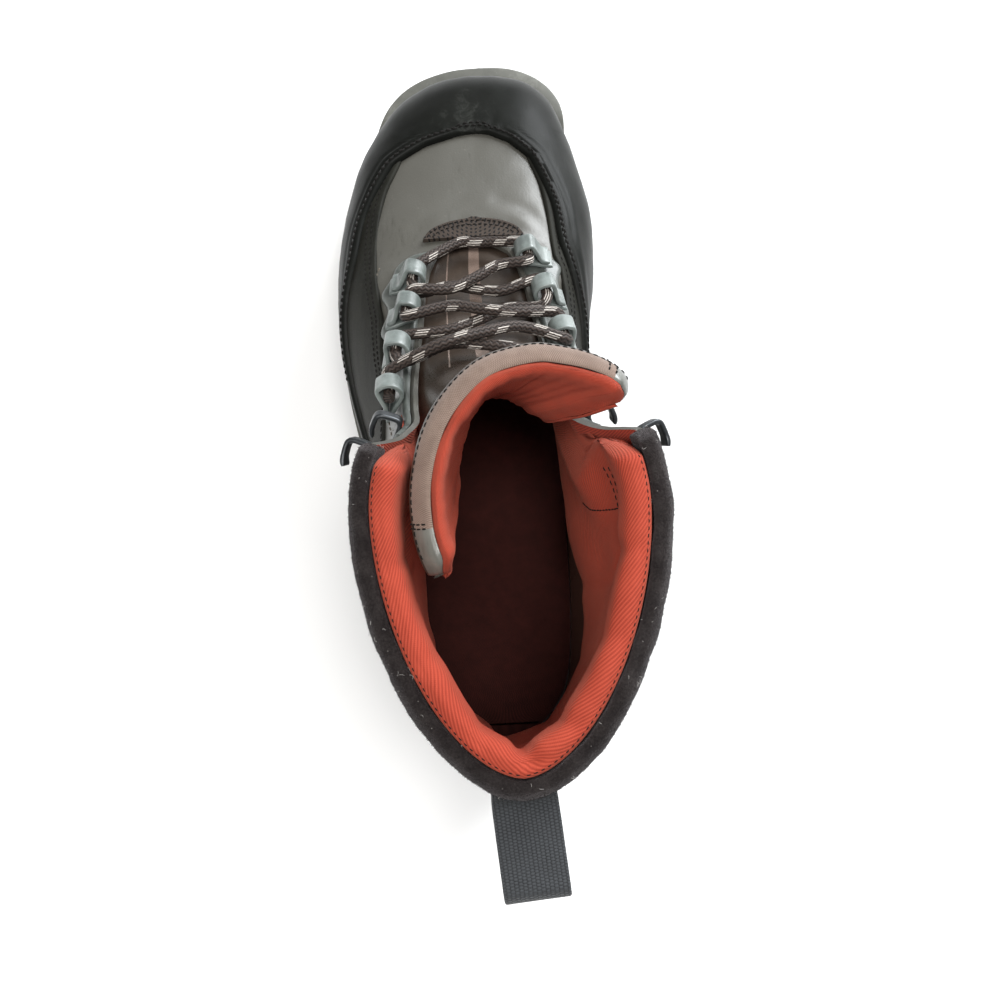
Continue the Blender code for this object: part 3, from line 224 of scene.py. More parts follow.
# Where the lace eyes sit on the eyestay: the section on each side.
EYES = (
    # lateral, medial
    (8.00, 7.50),
    (8.85, 8.45),
    (9.95, 9.55),
    (11.2, 10.8),
)
HOOK_HEIGHTS = (0.70, 0.885)

SECTION_ARRAY = np.array(SECTIONS)

CURVES = {}
CURVE_STEPS = 200

# Sections where the upper's mesh has a row of points: close at the toe, the throat and the heel.
FOOT_ROWS = (
    0, 0.4, 0.8, 1.3, 1.9, 2.6, 3.4, 4.25, 4.45, 5, 5.8, 6.4, 6.9, 7.15, 7.5, 8.2, 9, 9.8,
    10.6, 11.4, 12.2, 12.9, 13.4, 13.75,
)  # fmt: skip


def catmull_rom(table, position):
    """The values of a table of rows at a position between them, through every row."""
    last = len(table) - 1
    i = min(int(position), last - 1)
    t = position - i
    before, a, b, after = (table[min(max(k, 0), last)] for k in (i - 1, i, i + 1, i + 2))
    slope_a, slope_b = (b - before) / 2, (after - a) / 2
    return (
        a * (2 * t**3 - 3 * t**2 + 1)
        + slope_a * (t**3 - 2 * t**2 + t)
        + b * (3 * t**2 - 2 * t**3)
        + slope_b * (t**3 - t**2)
    )


def section_at(row):
    """One section between the table's rows, as named lengths in millimetres."""
    share = dict(zip(SECTION_COLUMNS, catmull_rom(SECTION_ARRAY, row)))
    seat = FORE_STACK + (HEEL_STACK - FORE_STACK) * share["ramp"] + TOE_SPRING * share["spring"]
    return {
        "front": np.array([
            BALL_WIDTH * share["front_x"],
            HEEL_BACK + UPPER_LENGTH * share["front_y"],
            HEEL_STACK + SHAFT_HEIGHT * share["front_z"],
        ]),
        "base": np.array([
            BALL_WIDTH * share["base_x"],
            HEEL_BACK + UPPER_LENGTH * share["base_y"],
            seat + SHAFT_HEIGHT * max(share["rise"], 0.0),
        ]),
        "half": (BALL_WIDTH * max(share["left"], 0), BALL_WIDTH * max(share["right"], 0)),
        "widest": share["widest"],
        "foot": math.sqrt(max(share["foot"], 0.0)) if row < HEEL_ROW else 0.0,
        "crown": share["crown"],
        "heel": share["heel"],
    }


def half_curve(row, side):
    """Points along one half of a section, from the front line to the base, and their arc lengths."""
    key = (round(row, 4), side)
    if key in CURVES:
        return CURVES[key]
    cut = section_at(row)
    half, widest, foot = cut["half"][side], cut["widest"], min(max(cut["foot"], 0.0), 0.999)
    turn = np.linspace(0, math.pi / 2, CURVE_STEPS)
    crown = 2 / cut["crown"]
    across = [half * np.sin(turn) ** crown]
    down = [widest * (1 - np.cos(turn) ** crown)]
    heel = 2 / cut["heel"]
    end = math.acos(foot ** (1 / heel)) if foot > 0 else math.pi / 2
    turn = np.linspace(0, end, CURVE_STEPS)[1:]
    closing = np.clip(np.cos(turn), 0, 1) ** heel
    if foot <= 0:
        closing[-1] = 0.0
    across.append(half * closing)
    down.append(widest + (1 - widest) * (np.sin(turn) / math.sin(end)) ** heel)
    across, down = np.concatenate(across), np.concatenate(down)
    points = cut["front"] + np.outer(down, cut["base"] - cut["front"])
    points[:, 0] += across * (-1 if side == 0 else 1)
    steps = np.linalg.norm(np.diff(points, axis=0), axis=1)
    arc = np.concatenate([[0.0], np.cumsum(steps)])
    CURVES[key] = (points, arc)
    return CURVES[key]


def skin(row, side, share):
    """A point on the upper's outer surface, at a share of the half curve from the front line."""
    points, arc = half_curve(row, side)
    along = share * arc[-1]
    return np.array([np.interp(along, arc, points[:, k]) for k in range(3)])


def skin_normal(row, side, share):
    step = 0.02
    low, high = max(share - step, 0.0), min(share + step, 1.0)
    if low == 0.0:
        high = step
    if high == 1.0:
        low = 1.0 - step
    down = skin(row, side, high) - skin(row, side, low)
    back, ahead = min(row + 0.08, COLLAR_ROW), max(row - 0.08, 0.0)
    along = skin(back, side, share) - skin(ahead, side, share)
    normal = np.cross(down, along) if side == 0 else np.cross(along, down)
    if row == 0:
        normal[0] = 0.0
    level = smooth((row - 13.0) / 0.7) * smooth((15.0 - row) / 0.6) * smooth((share - 0.82) / 0.14)
    normal[2] *= 1.0 - level
    return normal / max(np.linalg.norm(normal), 1e-9)


def raised(row, side, share, height):
    """A point over the skin by height, or under it where height is negative; the base stays level."""
    base = skin(row, side, share)
    point = base + height * skin_normal(row, side, share)
    if share >= 1 - 1e-9 and row <= HEEL_ROW:
        point[2] = base[2]
    return point


def between(table, row):
    """The columns of a table whose first column is the section, at a section between its rows."""
    values = np.array(table)
    return [np.interp(row, values[:, 0], values[:, k]) for k in range(1, values.shape[1])]


def throat_share(row, side):
    """The throat's edge, as a share of the half curve."""
    if row <= THROAT_ROW:
        return 0.0
    return BALL_WIDTH * between(THROAT, row)[side] / half_curve(row, side)[1][-1]


def mix(a, b, t):
    return a + (b - a) * t


def smooth(t):
    t = min(max(t, 0.0), 1.0)
    return t * t * (3 - 2 * t)


def share_at_height(row, side, height):
    """The share of the half curve at which a section comes down to a height."""
    points, arc = half_curve(row, side)
    return float(np.interp(height, points[::-1, 2], arc[::-1]) / arc[-1])


def length_share(row, side, length):
    """A length over the skin, as a share of the half curve."""
    return length / half_curve(row, side)[1][-1]


def foot_end(row, side):
    """The lower edge of what goes over the upper, a little above the sole."""
    return 1.0 if row >= HEEL_ROW else 1.0 - length_share(row, side, EDGE_LIFT)


def collar_point(side, part, depth, inset, front=0.0):
    """A point below the collar's top, at an inset from the skin; front keeps it behind the throat."""
    row = row_at_height(side, part, COLLAR_TOP - max(depth, 0.0))
    start = throat_share(row, side) + length_share(row, side, front)
    point = raised(row, side, mix(start, 1.0, part), -inset)
    point[2] += max(-depth, 0.0)
    return point


def tongue_grid(rows, columns):
    """Points over the front of the tongue, from its root under the vamp to its top edge."""
    grid = []
    for row in rows:
        cut = dict(zip(TONGUE_COLUMNS[1:], between(TONGUE, row)))
        free = smooth(cut["free"])
        line = []
        for column in columns:
            side = 0 if column < 0 else 1
            reach = BALL_WIDTH * abs(column) * cut["lateral" if side == 0 else "medial"]
            point = raised(row, side, length_share(row, side, reach), -WALL - TONGUE_CLEARANCE)
            if free > 0:
                end = "l" if side == 0 else "r"
                turn = math.radians(cut["turn_" + end]) * abs(column)
                slack = np.array([
                    BALL_WIDTH * (
                        cut["mid_x"] + (-1 if side == 0 else 1) * cut["spread_" + end] * math.sin(turn)
                    ),
                    HEEL_BACK + UPPER_LENGTH * (cut["mid_y"] - cut["sweep_" + end] * (1 - math.cos(turn))),
                    HEEL_STACK + SHAFT_HEIGHT * (cut["mid_z"] - cut["drop_" + end] * column**2),
                ])
                point = mix(point, slack, free)
            line.append(point)
        grid.append(line)
    return np.array(grid)


def ground(y):
    """How far the underside of the sole is above its plane: the arch behind the ball, and the toe spring."""
    if y < HEEL_FRONT:
        return 0.0
    if y < BALL_BACK:
        up = smooth((y - HEEL_FRONT) / STEP_RUN)
        down = smooth((BALL_BACK - y) / (0.75 * (BALL_BACK - HEEL_FRONT)))
        return ARCH_RISE * min(up, down)
    start = HEEL_BACK + 0.74 * UPPER_LENGTH
    return SOLE_TOE_LIFT * max((y - start) / (HEEL_BACK + UPPER_LENGTH - start), 0.0) ** 1.8


def outline(rows, height, offset):
    """Both sides of the sole's outline, offset outwards from the skin.

    height gives each point's z from its section, the feather line's z and the point's own y.
    """
    sides = []
    for side in (0, 1):
        line = []
        for row in rows:
            base = seat_height(row)
            rise = height(row, base, 0.0) - base
            if rise < 0.1:
                line.append(skin(row, side, 1.0))
            elif row < HEEL_ROW - 0.01:
                line.append(skin(row, side, share_at_height(row, side, base + rise)))
            else:
                line.append(skin(row_at_back(base + rise), side, 1.0))
        sides.append(line)
    loop = sides[0] + sides[1][-2:0:-1]
    plan = np.array([[p[0], p[1]] for p in loop])
    run = np.roll(plan, -1, axis=0) - np.roll(plan, 1, axis=0)
    out = np.stack([run[:, 1], -run[:, 0]], axis=1)
    out /= np.linalg.norm(out, axis=1, keepdims=True)
    made = []
    for row, point, way in zip(list(rows) + list(rows)[-2:0:-1], plan, out):
        place = point + way * offset(row)
        made.append(np.array([place[0], place[1], height(row, seat_height(row), place[1])]))
    return made


def seat_height(row):
    """The feather line's height, straight between the upper's own rows."""
    rows = FOOT_ROWS + (HEEL_ROW,)
    return float(np.interp(row, rows, [section_at(r)["base"][2] for r in rows]))


def margin(row):
    return between(SOLE_MARGIN, row)[0]


def surface_frame(row, side, offset, height):
    """A point beside the throat's edge, with the ways out, to the throat and to the toe there."""
    share = throat_share(row, side) + length_share(row, side, offset)
    origin = raised(row, side, share, height)
    out = skin_normal(row, side, share)
    throat = skin(row, side, max(share - 0.02, 0.0)) - skin(row, side, share + 0.02)
    throat -= out * (throat @ out)
    throat /= np.linalg.norm(throat)
    toe = np.cross(throat, out)
    if toe[1] < 0:
        toe = -toe
    return origin, out, throat, toe


def eye_path():
    """A band folded over into an eye: along the tab, round the lace and back on to the tab."""
    radius = EYE_RADIUS + EYE_WALL / 2
    middle = EYE_WALL / 2 + radius
    path = [(-EYE_TAB, EYE_WALL / 2), (-EYE_TAB / 2, EYE_WALL / 2)]
    for angle in np.linspace(-90, 105, 7):
        turn = math.radians(angle)
        path.append((radius * math.cos(turn), middle + radius * math.sin(turn)))
    path.append((-radius * 1.35, 1.9 * EYE_WALL + CLEARANCE))
    path.append((-EYE_TAB * 0.85, 1.5 * EYE_WALL + CLEARANCE))
    return path


def smooth_line(points, cuts):
    """A smooth curve through the given points, with each stretch between them cut into so many."""
    points = np.asarray(points)
    line = [points[0]]
    for i, count in enumerate(cuts):
        line += [catmull_rom(points, i + k / count) for k in range(1, count + 1)]
    return np.array(line)


@lru_cache(maxsize=None)
def heights_up(side, part):
    rows = np.linspace(9.5, COLLAR_ROW, 39)
    return rows, [skin(r, side, mix(throat_share(r, side), 1.0, part))[2] for r in rows]


def row_at_height(side, part, height):
    """The section whose point at this part of the way from the throat's edge to the back is so high."""
    rows, heights = heights_up(side, round(float(part), 6))
    return float(np.interp(height, heights, rows))


@lru_cache(maxsize=None)
def bases():
    rows = np.linspace(0, HEEL_ROW, 141), np.linspace(HEEL_ROW, COLLAR_ROW, 101)
    return rows, [-section_at(r)["base"][1] for r in rows[0]], [section_at(r)["base"][2] for r in rows[1]]


def row_at_back(height):
    """The section whose base point has this height, up the back of the heel."""
    rows, _, heights = bases()
    return float(np.interp(height, heights, rows[1]))


def eye_places():
    """The place of each lace eye's hole, with the ways out, to the throat and to the toe there."""
    places = {}
    height = COVER + EYESTAY_WALL + 2 * CLEARANCE
    for i, pair in enumerate(EYES):
        for side, row in enumerate(pair):
            origin, out, throat, toe = surface_frame(row, side, EYESTAY_INSET + 1.0, height)
            places[(i, side)] = (row, origin + out * (EYE_WALL + EYE_RADIUS), toe, out, throat)
    return places


def lace_route(eyes):
    """One lace, crossed between the eyes; at each crossing one run goes over the other."""
    over, under = LACE_RISE + LACE_DIAMETER + CLEARANCE, LACE_RISE
    points, cuts = [], []

    def add(point, count):
        points.append(point)
        if len(points) > 1:
            cuts.append(count)

    def through(i, side, way):
        _, place, toe, _, _ = eyes[(i, side)]
        for n, t in enumerate((-1.5, -0.8, 0.8, 1.5)):
            add(place + toe * (EYE_LENGTH / 2) * t * way, 1 if n else 2)

    def beside(eye, way, lift):
        _, place, toe, out, throat = eyes[eye]
        return place + toe * way * (0.75 * EYE_LENGTH + 3.0) + throat * 0.6 * LACE_DIAMETER + out * lift

    def across(a, b, way, lift):
        end = 0.35 * LACE_DIAMETER if lift == over else -0.7 * LACE_DIAMETER
        add(beside(a, way, end), 1)
        for t, side in ((0.27, a[1]), (0.5, b[1]), (0.73, b[1])):
            row = mix(eyes[a][0], eyes[b][0], t)
            share = throat_share(row, side) * abs(1 - 2 * t)
            add(raised(row, side, share, lift + (0.0 if t == 0.5 else 0.5)), 2)
        add(beside(b, -way, end), 2)

    last = len(EYES) - 1
    order = [(i, (i + 1) % 2 if last % 2 else i % 2) for i in range(last, -1, -1)]
    back = [(i, 1 - side) for i, side in reversed(order)]
    for a, b in zip(order, order[1:]):
        through(*a, 1)
        across(a, b, 1, over)
    through(*order[-1], 1)
    bar_row = min(EYES[0]) - 0.42
    for side, share in ((order[-1][1], 0.5), (0, 0.0), (back[0][1], 0.5)):
        add(raised(bar_row, side, share * length_share(bar_row, side, 14.0), LACE_RISE + 2.0), 2)
    through(*back[0], -1)
    for a, b in zip(back, back[1:]):
        across(a, b, -1, under)
        through(*b, -1)
    return points, cuts


def pull_path():
    """The path of the webbing loop at the back of the shaft, with its origin and its ways."""
    top = COLLAR_TOP - LEATHER_DROP - 2.0
    low = top - 0.12 * SHAFT_HEIGHT
    back = lambda z: section_at(row_at_back(z))["base"]
    seat = back(low)
    gap = CLEARANCE + WEBBING_THICKNESS / 2
    far = WEBBING_REACH
    level, opening = top - 6.0, WEBBING_OPENING + WEBBING_THICKNESS
    out = lambda z: seat[1] - back(z)[1]
    second = gap + WEBBING_THICKNESS + 2 * CLEARANCE
    path = [(out(low) + second, low), (out(mix(low, level, 0.5)) + second, mix(low, level, 0.5))]
    path += [(out(level) + second + 0.6, level - 4.5), (second + 3.0, level - 1.4), (second + 7.0, level)]
    path += [(0.6 * far, level)]
    for angle in np.linspace(-90, 90, 6):
        turn = math.radians(angle)
        height = level + opening / 2 + opening / 2 * math.sin(turn)
        path.append((far - opening / 2 + opening / 2 * math.cos(turn), height))
    path += [
        (0.6 * far, level + opening), (0.36 * far, level + opening), (gap + 4.0, level + opening - 2.0)
    ]
    path += [(out(level) + gap + 0.7, level + 0.6), (out(mix(low, level, 0.5)) + gap, mix(low, level, 0.5))]
    path += [(out(low) + gap, low)]
    lean = math.radians(PULL_LEAN)
    away = np.array([math.sin(lean), -math.cos(lean), 0.0])
    across = np.array([math.cos(lean), math.sin(lean), 0.0])
    return path, np.array([seat[0], seat[1], 0.0]), away, across

rng = np.random.default_rng(7)


# ---------------------------------------------------------------- materials

class Look:
    """A node material, built up step by step. Lengths in its calls are in millimetres."""

    def __init__(self, name, rough=0.5, metal=0.0, spec=0.5, sheen=0.0, coat=0.0, coat_rough=0.2):
        self.mat = bpy.data.materials.new(name)
        self.mat.use_nodes = True
        self.tree = self.mat.node_tree
        self.bsdf = self.tree.nodes["Principled BSDF"]
        self.set("Roughness", rough)
        self.set("Metallic", metal)
        self.set("Specular IOR Level", spec)
        if sheen:
            self.set("Sheen Weight", sheen)
            self.set("Sheen Roughness", 0.5)
        if coat:
            self.set("Coat Weight", coat)
            self.set("Coat Roughness", coat_rough)
        self.place = self.node("ShaderNodeTexCoord")
        self.height = None

    def node(self, kind, **values):
        made = self.tree.nodes.new(kind)
        for key, value in values.items():
            setattr(made, key, value)
        return made

    def set(self, socket, value):
        self.bsdf.inputs[socket].default_value = value

    def link(self, out, into):
        self.tree.links.new(out, into)
        return self

    def feed(self, value, into):
        if isinstance(value, (int, float)):
            into.default_value = value
        elif isinstance(value, tuple):
            into.default_value = (*value, 1.0) if len(into.default_value) == 4 else value
        else:
            self.link(value, into)

    def math(self, operation, a, b=0.0):
        made = self.node("ShaderNodeMath", operation=operation)
        self.feed(a, made.inputs[0])
        self.feed(b, made.inputs[1])
        return made.outputs[0]

    def times(self, a, b):
        return self.math("MULTIPLY", a, b)

    def plus(self, a, b):
        return self.math("ADD", a, b)

    def minus(self, a, b):
        return self.math("SUBTRACT", a, b)

    def where(self, stretch=(1, 1, 1), turn=(0, 0, 0), source="Object"):
        made = self.node("ShaderNodeMapping")
        made.inputs["Scale"].default_value = stretch
        made.inputs["Rotation"].default_value = turn
        self.link(self.place.outputs[source], made.inputs["Vector"])
        return made.outputs[0]

    def noise(self, size, detail=3.0, rough=0.5, distort=0.0, vector=None):
        made = self.node("ShaderNodeTexNoise")
        made.inputs["Scale"].default_value = 1000.0 / size
        made.inputs["Detail"].default_value = detail
        made.inputs["Roughness"].default_value = rough
        made.inputs["Distortion"].default_value = distort
        self.link(vector or self.place.outputs["Object"], made.inputs["Vector"])
        return made.outputs[0]

    def cells(self, size, feature="F1", vector=None, random=1.0):
        made = self.node("ShaderNodeTexVoronoi", feature=feature)
        made.inputs["Scale"].default_value = 1000.0 / size
        made.inputs["Randomness"].default_value = random
        self.link(vector or self.place.outputs["Object"], made.inputs["Vector"])
        return made.outputs["Distance"]

    def step(self, value, low, high):
        """0 below low, 1 above high, smooth between."""
        made = self.node("ShaderNodeMapRange", interpolation_type="SMOOTHSTEP")
        self.feed(value, made.inputs["Value"])
        made.inputs["From Min"].default_value = low
        made.inputs["From Max"].default_value = high
        return made.outputs["Result"]

    def mix(self, factor, a, b):
        made = self.node("ShaderNodeMix", data_type="RGBA")
        self.feed(factor, made.inputs[0])
        self.feed(a, made.inputs[6])
        self.feed(b, made.inputs[7])
        return made.outputs[2]

    def colour(self, value):
        self.feed(value, self.bsdf.inputs["Base Color"])
        return self

    def rough(self, factor, low, high):
        made = self.node("ShaderNodeMapRange")
        self.feed(factor, made.inputs["Value"])
        made.inputs["To Min"].default_value = low
        made.inputs["To Max"].default_value = high
        self.link(made.outputs["Result"], self.bsdf.inputs["Roughness"])
        return self

    def relief(self, height, depth, strength=1.0):
        made = self.node("ShaderNodeBump")
        made.inputs["Strength"].default_value = strength
        made.inputs["Distance"].default_value = depth * MM
        self.feed(height, made.inputs["Height"])
        if self.height is not None:
            self.link(self.height, made.inputs["Normal"])
        self.height = made.outputs["Normal"]
        self.link(self.height, self.bsdf.inputs["Normal"])
        return self

    def uv(self):
        """The two UV values, which the pieces hold in centimetres along and across."""
        made = self.node("ShaderNodeSeparateXYZ")
        self.link(self.place.outputs["UV"], made.inputs[0])
        return made.outputs[0], made.outputs[1]


def stripes(look, a, b, along, across, pitch):
    """Lines over the UV plane, along*a + across*b, at a pitch in millimetres; from -1 to 1."""
    mixed = look.plus(look.times(a, along), look.times(b, across))
    return look.math("SINE", look.times(mixed, 2 * math.pi * 10.0 / pitch))


def leather(
    name, dark, light, grain=1.0, rough=(0.36, 0.52), coat=0.0, streak=0.35, dust=(0.2, 0.19, 0.165),
    spec=0.5
):
    look = Look(name, coat=coat, coat_rough=0.3, spec=spec)
    cloud = look.noise(38.0, 4.0, 0.6)
    streaks = look.noise(2.2, 4.0, 0.7, vector=look.where((1.0, 0.07, 1.0)))
    fine = look.cells(grain * 0.9)
    pores = look.noise(grain * 0.35, 2.0)
    tone = look.plus(look.times(cloud, 0.75), look.times(streaks, streak))
    base = look.mix(look.step(tone, 0.3, 0.75), dark, light)
    base = look.mix(look.times(look.step(look.noise(2.4, 6.0, 0.7), 0.6, 0.78), 0.35), base, dust)
    look.colour(base).rough(look.plus(look.times(cloud, 0.6), look.times(fine, 0.4)), *rough)
    look.relief(look.noise(11.0, 3.0, 0.5), 0.22, 0.6)
    look.relief(fine, 0.035 * grain, 0.7).relief(pores, 0.03, 0.6)
    look.relief(streaks, 0.05, 0.7)
    return look.mat


def rubber(name, base, worn, scuff=0.5, rough=(0.3, 0.55), grain=0.5, spec=0.4):
    look = Look(name, spec=spec)
    cloud = look.noise(30.0, 5.0, 0.65)
    scratch = look.noise(4.5, 8.0, 0.75, 1.2, look.where((1.0, 0.7, 1.0)))
    marks = look.step(look.plus(look.times(cloud, 0.5), look.times(scratch, 0.5)), 0.53, 0.7)
    base = look.mix(look.step(cloud, 0.3, 0.7), base, tuple(c * 1.7 for c in base))
    look.colour(look.mix(look.times(marks, scuff), base, worn))
    look.rough(look.plus(look.times(cloud, 0.5), look.times(marks, 0.5)), *rough)
    look.relief(look.noise(12.0, 2.0), 0.2, 0.5).relief(look.noise(grain, 3.0, 0.6), 0.05, 0.8)
    look.relief(scratch, 0.06, 0.5)
    return look.mat


def twill(name, base, shade, pitch=1.05, angle=62.0, deep=None):
    """A ribbed cloth, with its ribs slanted over the UV plane; its last argument is a colour painted low in the
    boot, as the shade deep inside it.
    """
    look = Look(name, rough=0.85, spec=0.2, sheen=0.12)
    look.set("Sheen Tint", (1.0, 0.55, 0.4, 1.0))
    u, v = look.uv()
    wobble = look.times(look.noise(9.0, 2.0), 0.025)
    u = look.plus(u, wobble)
    turn = math.radians(angle)
    ribs = stripes(look, u, v, math.cos(turn), math.sin(turn), pitch)
    yarn = stripes(look, u, v, math.sin(turn), -math.cos(turn), pitch * 0.55)
    rib = look.times(look.plus(ribs, 1.0), 0.5)
    tone = look.plus(look.times(rib, 0.55), look.times(look.noise(14.0, 4.0, 0.6), 0.6))
    cloth = look.mix(look.step(tone, 0.15, 0.85), shade, base)
    # Painted shade: below a height the cloth is darkened towards the colour of the shade deep in the boot.
    if deep:
        parts = look.node("ShaderNodeSeparateXYZ")
        look.link(look.place.outputs["Object"], parts.inputs[0])
        cloth = look.mix(look.step(parts.outputs[2], 0.155, 0.100), cloth, deep)
    look.colour(cloth)
    look.relief(look.noise(7.0, 3.0, 0.6), 0.35, 0.5).relief(rib, 0.14, 0.9).relief(yarn, 0.02, 0.7)
    return look.mat


def woven(name, dark, light, pitch=0.7, rough=0.85):
    look = Look(name, rough=rough, spec=0.3, sheen=0.15)
    u, v = look.uv()
    warp, weft = stripes(look, u, v, 1, 0, pitch), stripes(look, u, v, 0, 1, pitch)
    weave = look.times(look.plus(look.times(warp, weft), 1.0), 0.5)
    tone = look.plus(look.times(weave, 0.5), look.times(look.noise(6.0, 5.0, 0.65), 0.6))
    look.colour(look.mix(look.step(tone, 0.25, 0.85), dark, light))
    look.relief(look.noise(5.0, 3.0), 0.2, 0.5).relief(weave, 0.1, 0.9)
    return look.mat


def pile(name, base, light, lint):
    look = Look(name, rough=1.0, spec=0.1, sheen=0.2)
    look.set("Sheen Tint", (0.62, 0.58, 0.6, 1.0))
    tufts = look.noise(0.7, 4.0, 0.7)
    cloud = look.noise(6.0, 3.0, 0.6)
    tone = look.plus(look.times(tufts, 0.6), look.times(cloud, 0.5))
    body = look.mix(look.step(tone, 0.35, 0.8), base, light)
    flecks = look.step(look.cells(3.4), 0.07, 0.03)
    look.colour(look.mix(look.times(flecks, 0.5), body, lint))
    look.relief(cloud, 0.5, 0.6).relief(tufts, 0.5, 1.0)
    return look.mat


def braid():
    """A round braided lace: brown yarns with pairs of pale dashes."""
    look = Look("lace braid", rough=0.6, spec=0.3)
    u, v = look.uv()
    turn = look.times(v, 8.0)
    run = look.times(u, 10.0 / 2.4)
    left = look.math("ABSOLUTE", look.math("SINE", look.times(look.plus(turn, run), math.pi)))
    right = look.math("ABSOLUTE", look.math("SINE", look.times(look.minus(turn, run), math.pi)))
    over = look.step(look.math("SINE", look.times(run, 2 * math.pi)), -0.2, 0.2)
    strands = look.plus(look.times(left, over), look.times(right, look.minus(1.0, over)))
    lane = look.math("FLOOR", look.times(v, 5.0))
    along = look.plus(look.times(u, 10.0 / 11.0), look.times(lane, 0.37))
    along = look.plus(along, look.times(v, 0.9))
    part = look.math("FRACT", along)
    dash = look.times(look.step(part, 0.02, 0.05), look.step(part, 0.50, 0.47))
    narrow = look.math("FRACT", look.times(v, 15.0))
    dash = look.times(dash, look.times(look.step(narrow, 0.30, 0.42), look.step(narrow, 0.86, 0.74)))
    pick = look.math("FRACT", look.times(look.plus(look.math("FLOOR", along), lane), 0.381966))
    dash = look.times(dash, look.step(pick, 0.50, 0.52))
    tone = look.plus(look.times(strands, 0.6), look.times(look.noise(4.0, 3.0), 0.4))
    body = look.mix(look.step(tone, 0.2, 0.9), (0.012, 0.0085, 0.007), (0.050, 0.036, 0.030))
    look.colour(look.mix(dash, body, (0.50, 0.46, 0.42)))
    look.relief(strands, 0.28, 1.0)
    return look.mat


def webbing_look():
    look = Look("webbing", rough=0.75, spec=0.3, sheen=0.15)
    u, v = look.uv()
    column = look.times(v, 10.0 / 1.35)
    half = look.times(look.math("FLOOR", column), 0.5)
    ribs = look.math("ABSOLUTE", look.math("SINE", look.times(column, math.pi)))
    row = look.plus(look.times(u, 10.0 / 1.0), half)
    knots = look.math("ABSOLUTE", look.math("SINE", look.times(row, math.pi)))
    weave = look.times(look.math("POWER", ribs, 0.35), look.math("POWER", knots, 0.4))
    tone = look.plus(look.times(weave, 0.7), look.times(look.noise(5.0, 4.0, 0.6), 0.35))
    look.colour(look.mix(look.step(tone, 0.15, 0.95), (0.010, 0.011, 0.0125), (0.044, 0.048, 0.053)))
    look.relief(weave, 0.3, 1.0).relief(look.noise(0.4, 2.0), 0.04, 0.6)
    return look.mat


def guard_look():
    """Brown cloth with rows of small holes, as its UV values run; the holes are painted near black, as the shade
    in them.
    """
    look = Look("throat guard cloth", rough=0.8, spec=0.3)
    u, v = look.uv()
    x = look.minus(look.math("FRACT", look.times(u, 10.0 / 1.9)), 0.5)
    y = look.minus(look.math("FRACT", look.times(v, 10.0 / 1.9)), 0.5)
    dist = look.math("SQRT", look.plus(look.times(x, x), look.times(y, y)))
    # Painted shade: each hole is painted near black.
    hole = look.step(dist, 0.30, 0.22)
    body = look.mix(look.noise(3.0, 5.0, 0.7), (0.022, 0.016, 0.012), (0.058, 0.043, 0.034))
    look.colour(look.mix(hole, body, (0.006, 0.005, 0.005)))
    look.relief(look.minus(1.0, hole), 0.35, 1.0).relief(look.noise(0.5, 3.0), 0.06, 0.8)
    return look.mat


def moulded(name, dark, light, rough=(0.26, 0.45)):
    look = Look(name, coat=0.2, coat_rough=0.25)
    cloud = look.noise(9.0, 4.0, 0.6)
    wear = look.step(look.noise(1.6, 7.0, 0.7), 0.55, 0.75)
    base = look.mix(look.step(cloud, 0.3, 0.7), dark, light)
    look.colour(look.mix(look.times(wear, 0.3), base, tuple(min(1.0, c * 1.9) for c in light)))
    look.rough(cloud, *rough)
    look.relief(look.noise(1.0, 3.0), 0.04, 0.7).relief(look.noise(7.0, 2.0), 0.25, 0.5)
    return look.mat


def steel(name, base):
    look = Look(name, metal=0.85, rough=0.35)
    cloud = look.noise(3.0, 5.0, 0.65)
    look.colour(look.mix(cloud, base, tuple(c * 2.4 for c in base)))
    look.rough(look.noise(1.2, 5.0, 0.7), 0.22, 0.5).relief(look.noise(0.8, 3.0), 0.02, 0.6)
    return look.mat


def thread(name, colour):
    look = Look(name, rough=0.85, spec=0.15)
    twist = look.noise(0.25, 2.0)
    look.colour(look.mix(twist, tuple(c * 0.6 for c in colour), colour)).relief(twist, 0.05, 0.8)
    return look.mat


LEATHER = leather(
    "upper leather", (0.024, 0.0222, 0.0165), (0.080, 0.0770, 0.0665), 0.9, (0.30, 0.45), 0.12, 0.85
)
RUBBER = rubber(
    "rand rubber", (0.0050, 0.0054, 0.0046), (0.070, 0.073, 0.066), 0.30, (0.36, 0.54), spec=0.09
)
PANEL = leather(
    "side panel", (0.0085, 0.0085, 0.0070), (0.022, 0.022, 0.018), 0.8, (0.46, 0.64),
    dust=(0.07, 0.07, 0.06), spec=0.08
)
COUNTER = leather(
    "counter leather", (0.024, 0.023, 0.018), (0.060, 0.057, 0.045), rough=(0.30, 0.48), coat=0.1
)
FOAM = rubber("midsole rubber", (0.066, 0.066, 0.058), (0.200, 0.200, 0.182), 0.6, (0.6, 0.85), 0.7)
TREAD = rubber("outsole rubber", (0.010, 0.010, 0.010), (0.075, 0.072, 0.064), 0.6, (0.55, 0.8))
LINING = twill("lining twill", (0.372, 0.053, 0.028), (0.235, 0.027, 0.014))
# The inner lining is painted darker low in the boot, as painted shade.
INNER = twill("inner lining", (0.360, 0.045, 0.026), (0.200, 0.020, 0.012), deep=(0.050, 0.008, 0.006))
PILE = pile("cuff pile", (0.007, 0.005, 0.005), (0.030, 0.025, 0.024), (0.32, 0.30, 0.28))
BROWN = leather(
    "tongue leather", (0.026, 0.018, 0.013), (0.056, 0.040, 0.030), 0.8, (0.20, 0.42), 0.25,
    dust=(0.16, 0.12, 0.10)
)
TAUPE = woven("tongue cloth", (0.125, 0.083, 0.064), (0.235, 0.170, 0.136))
GREY = leather("tongue tab", (0.070, 0.070, 0.060), (0.170, 0.168, 0.148), 0.7, (0.24, 0.42), 0.2)
EYESTAY = moulded("eyestay", (0.040, 0.045, 0.040), (0.090, 0.099, 0.090), (0.30, 0.5))
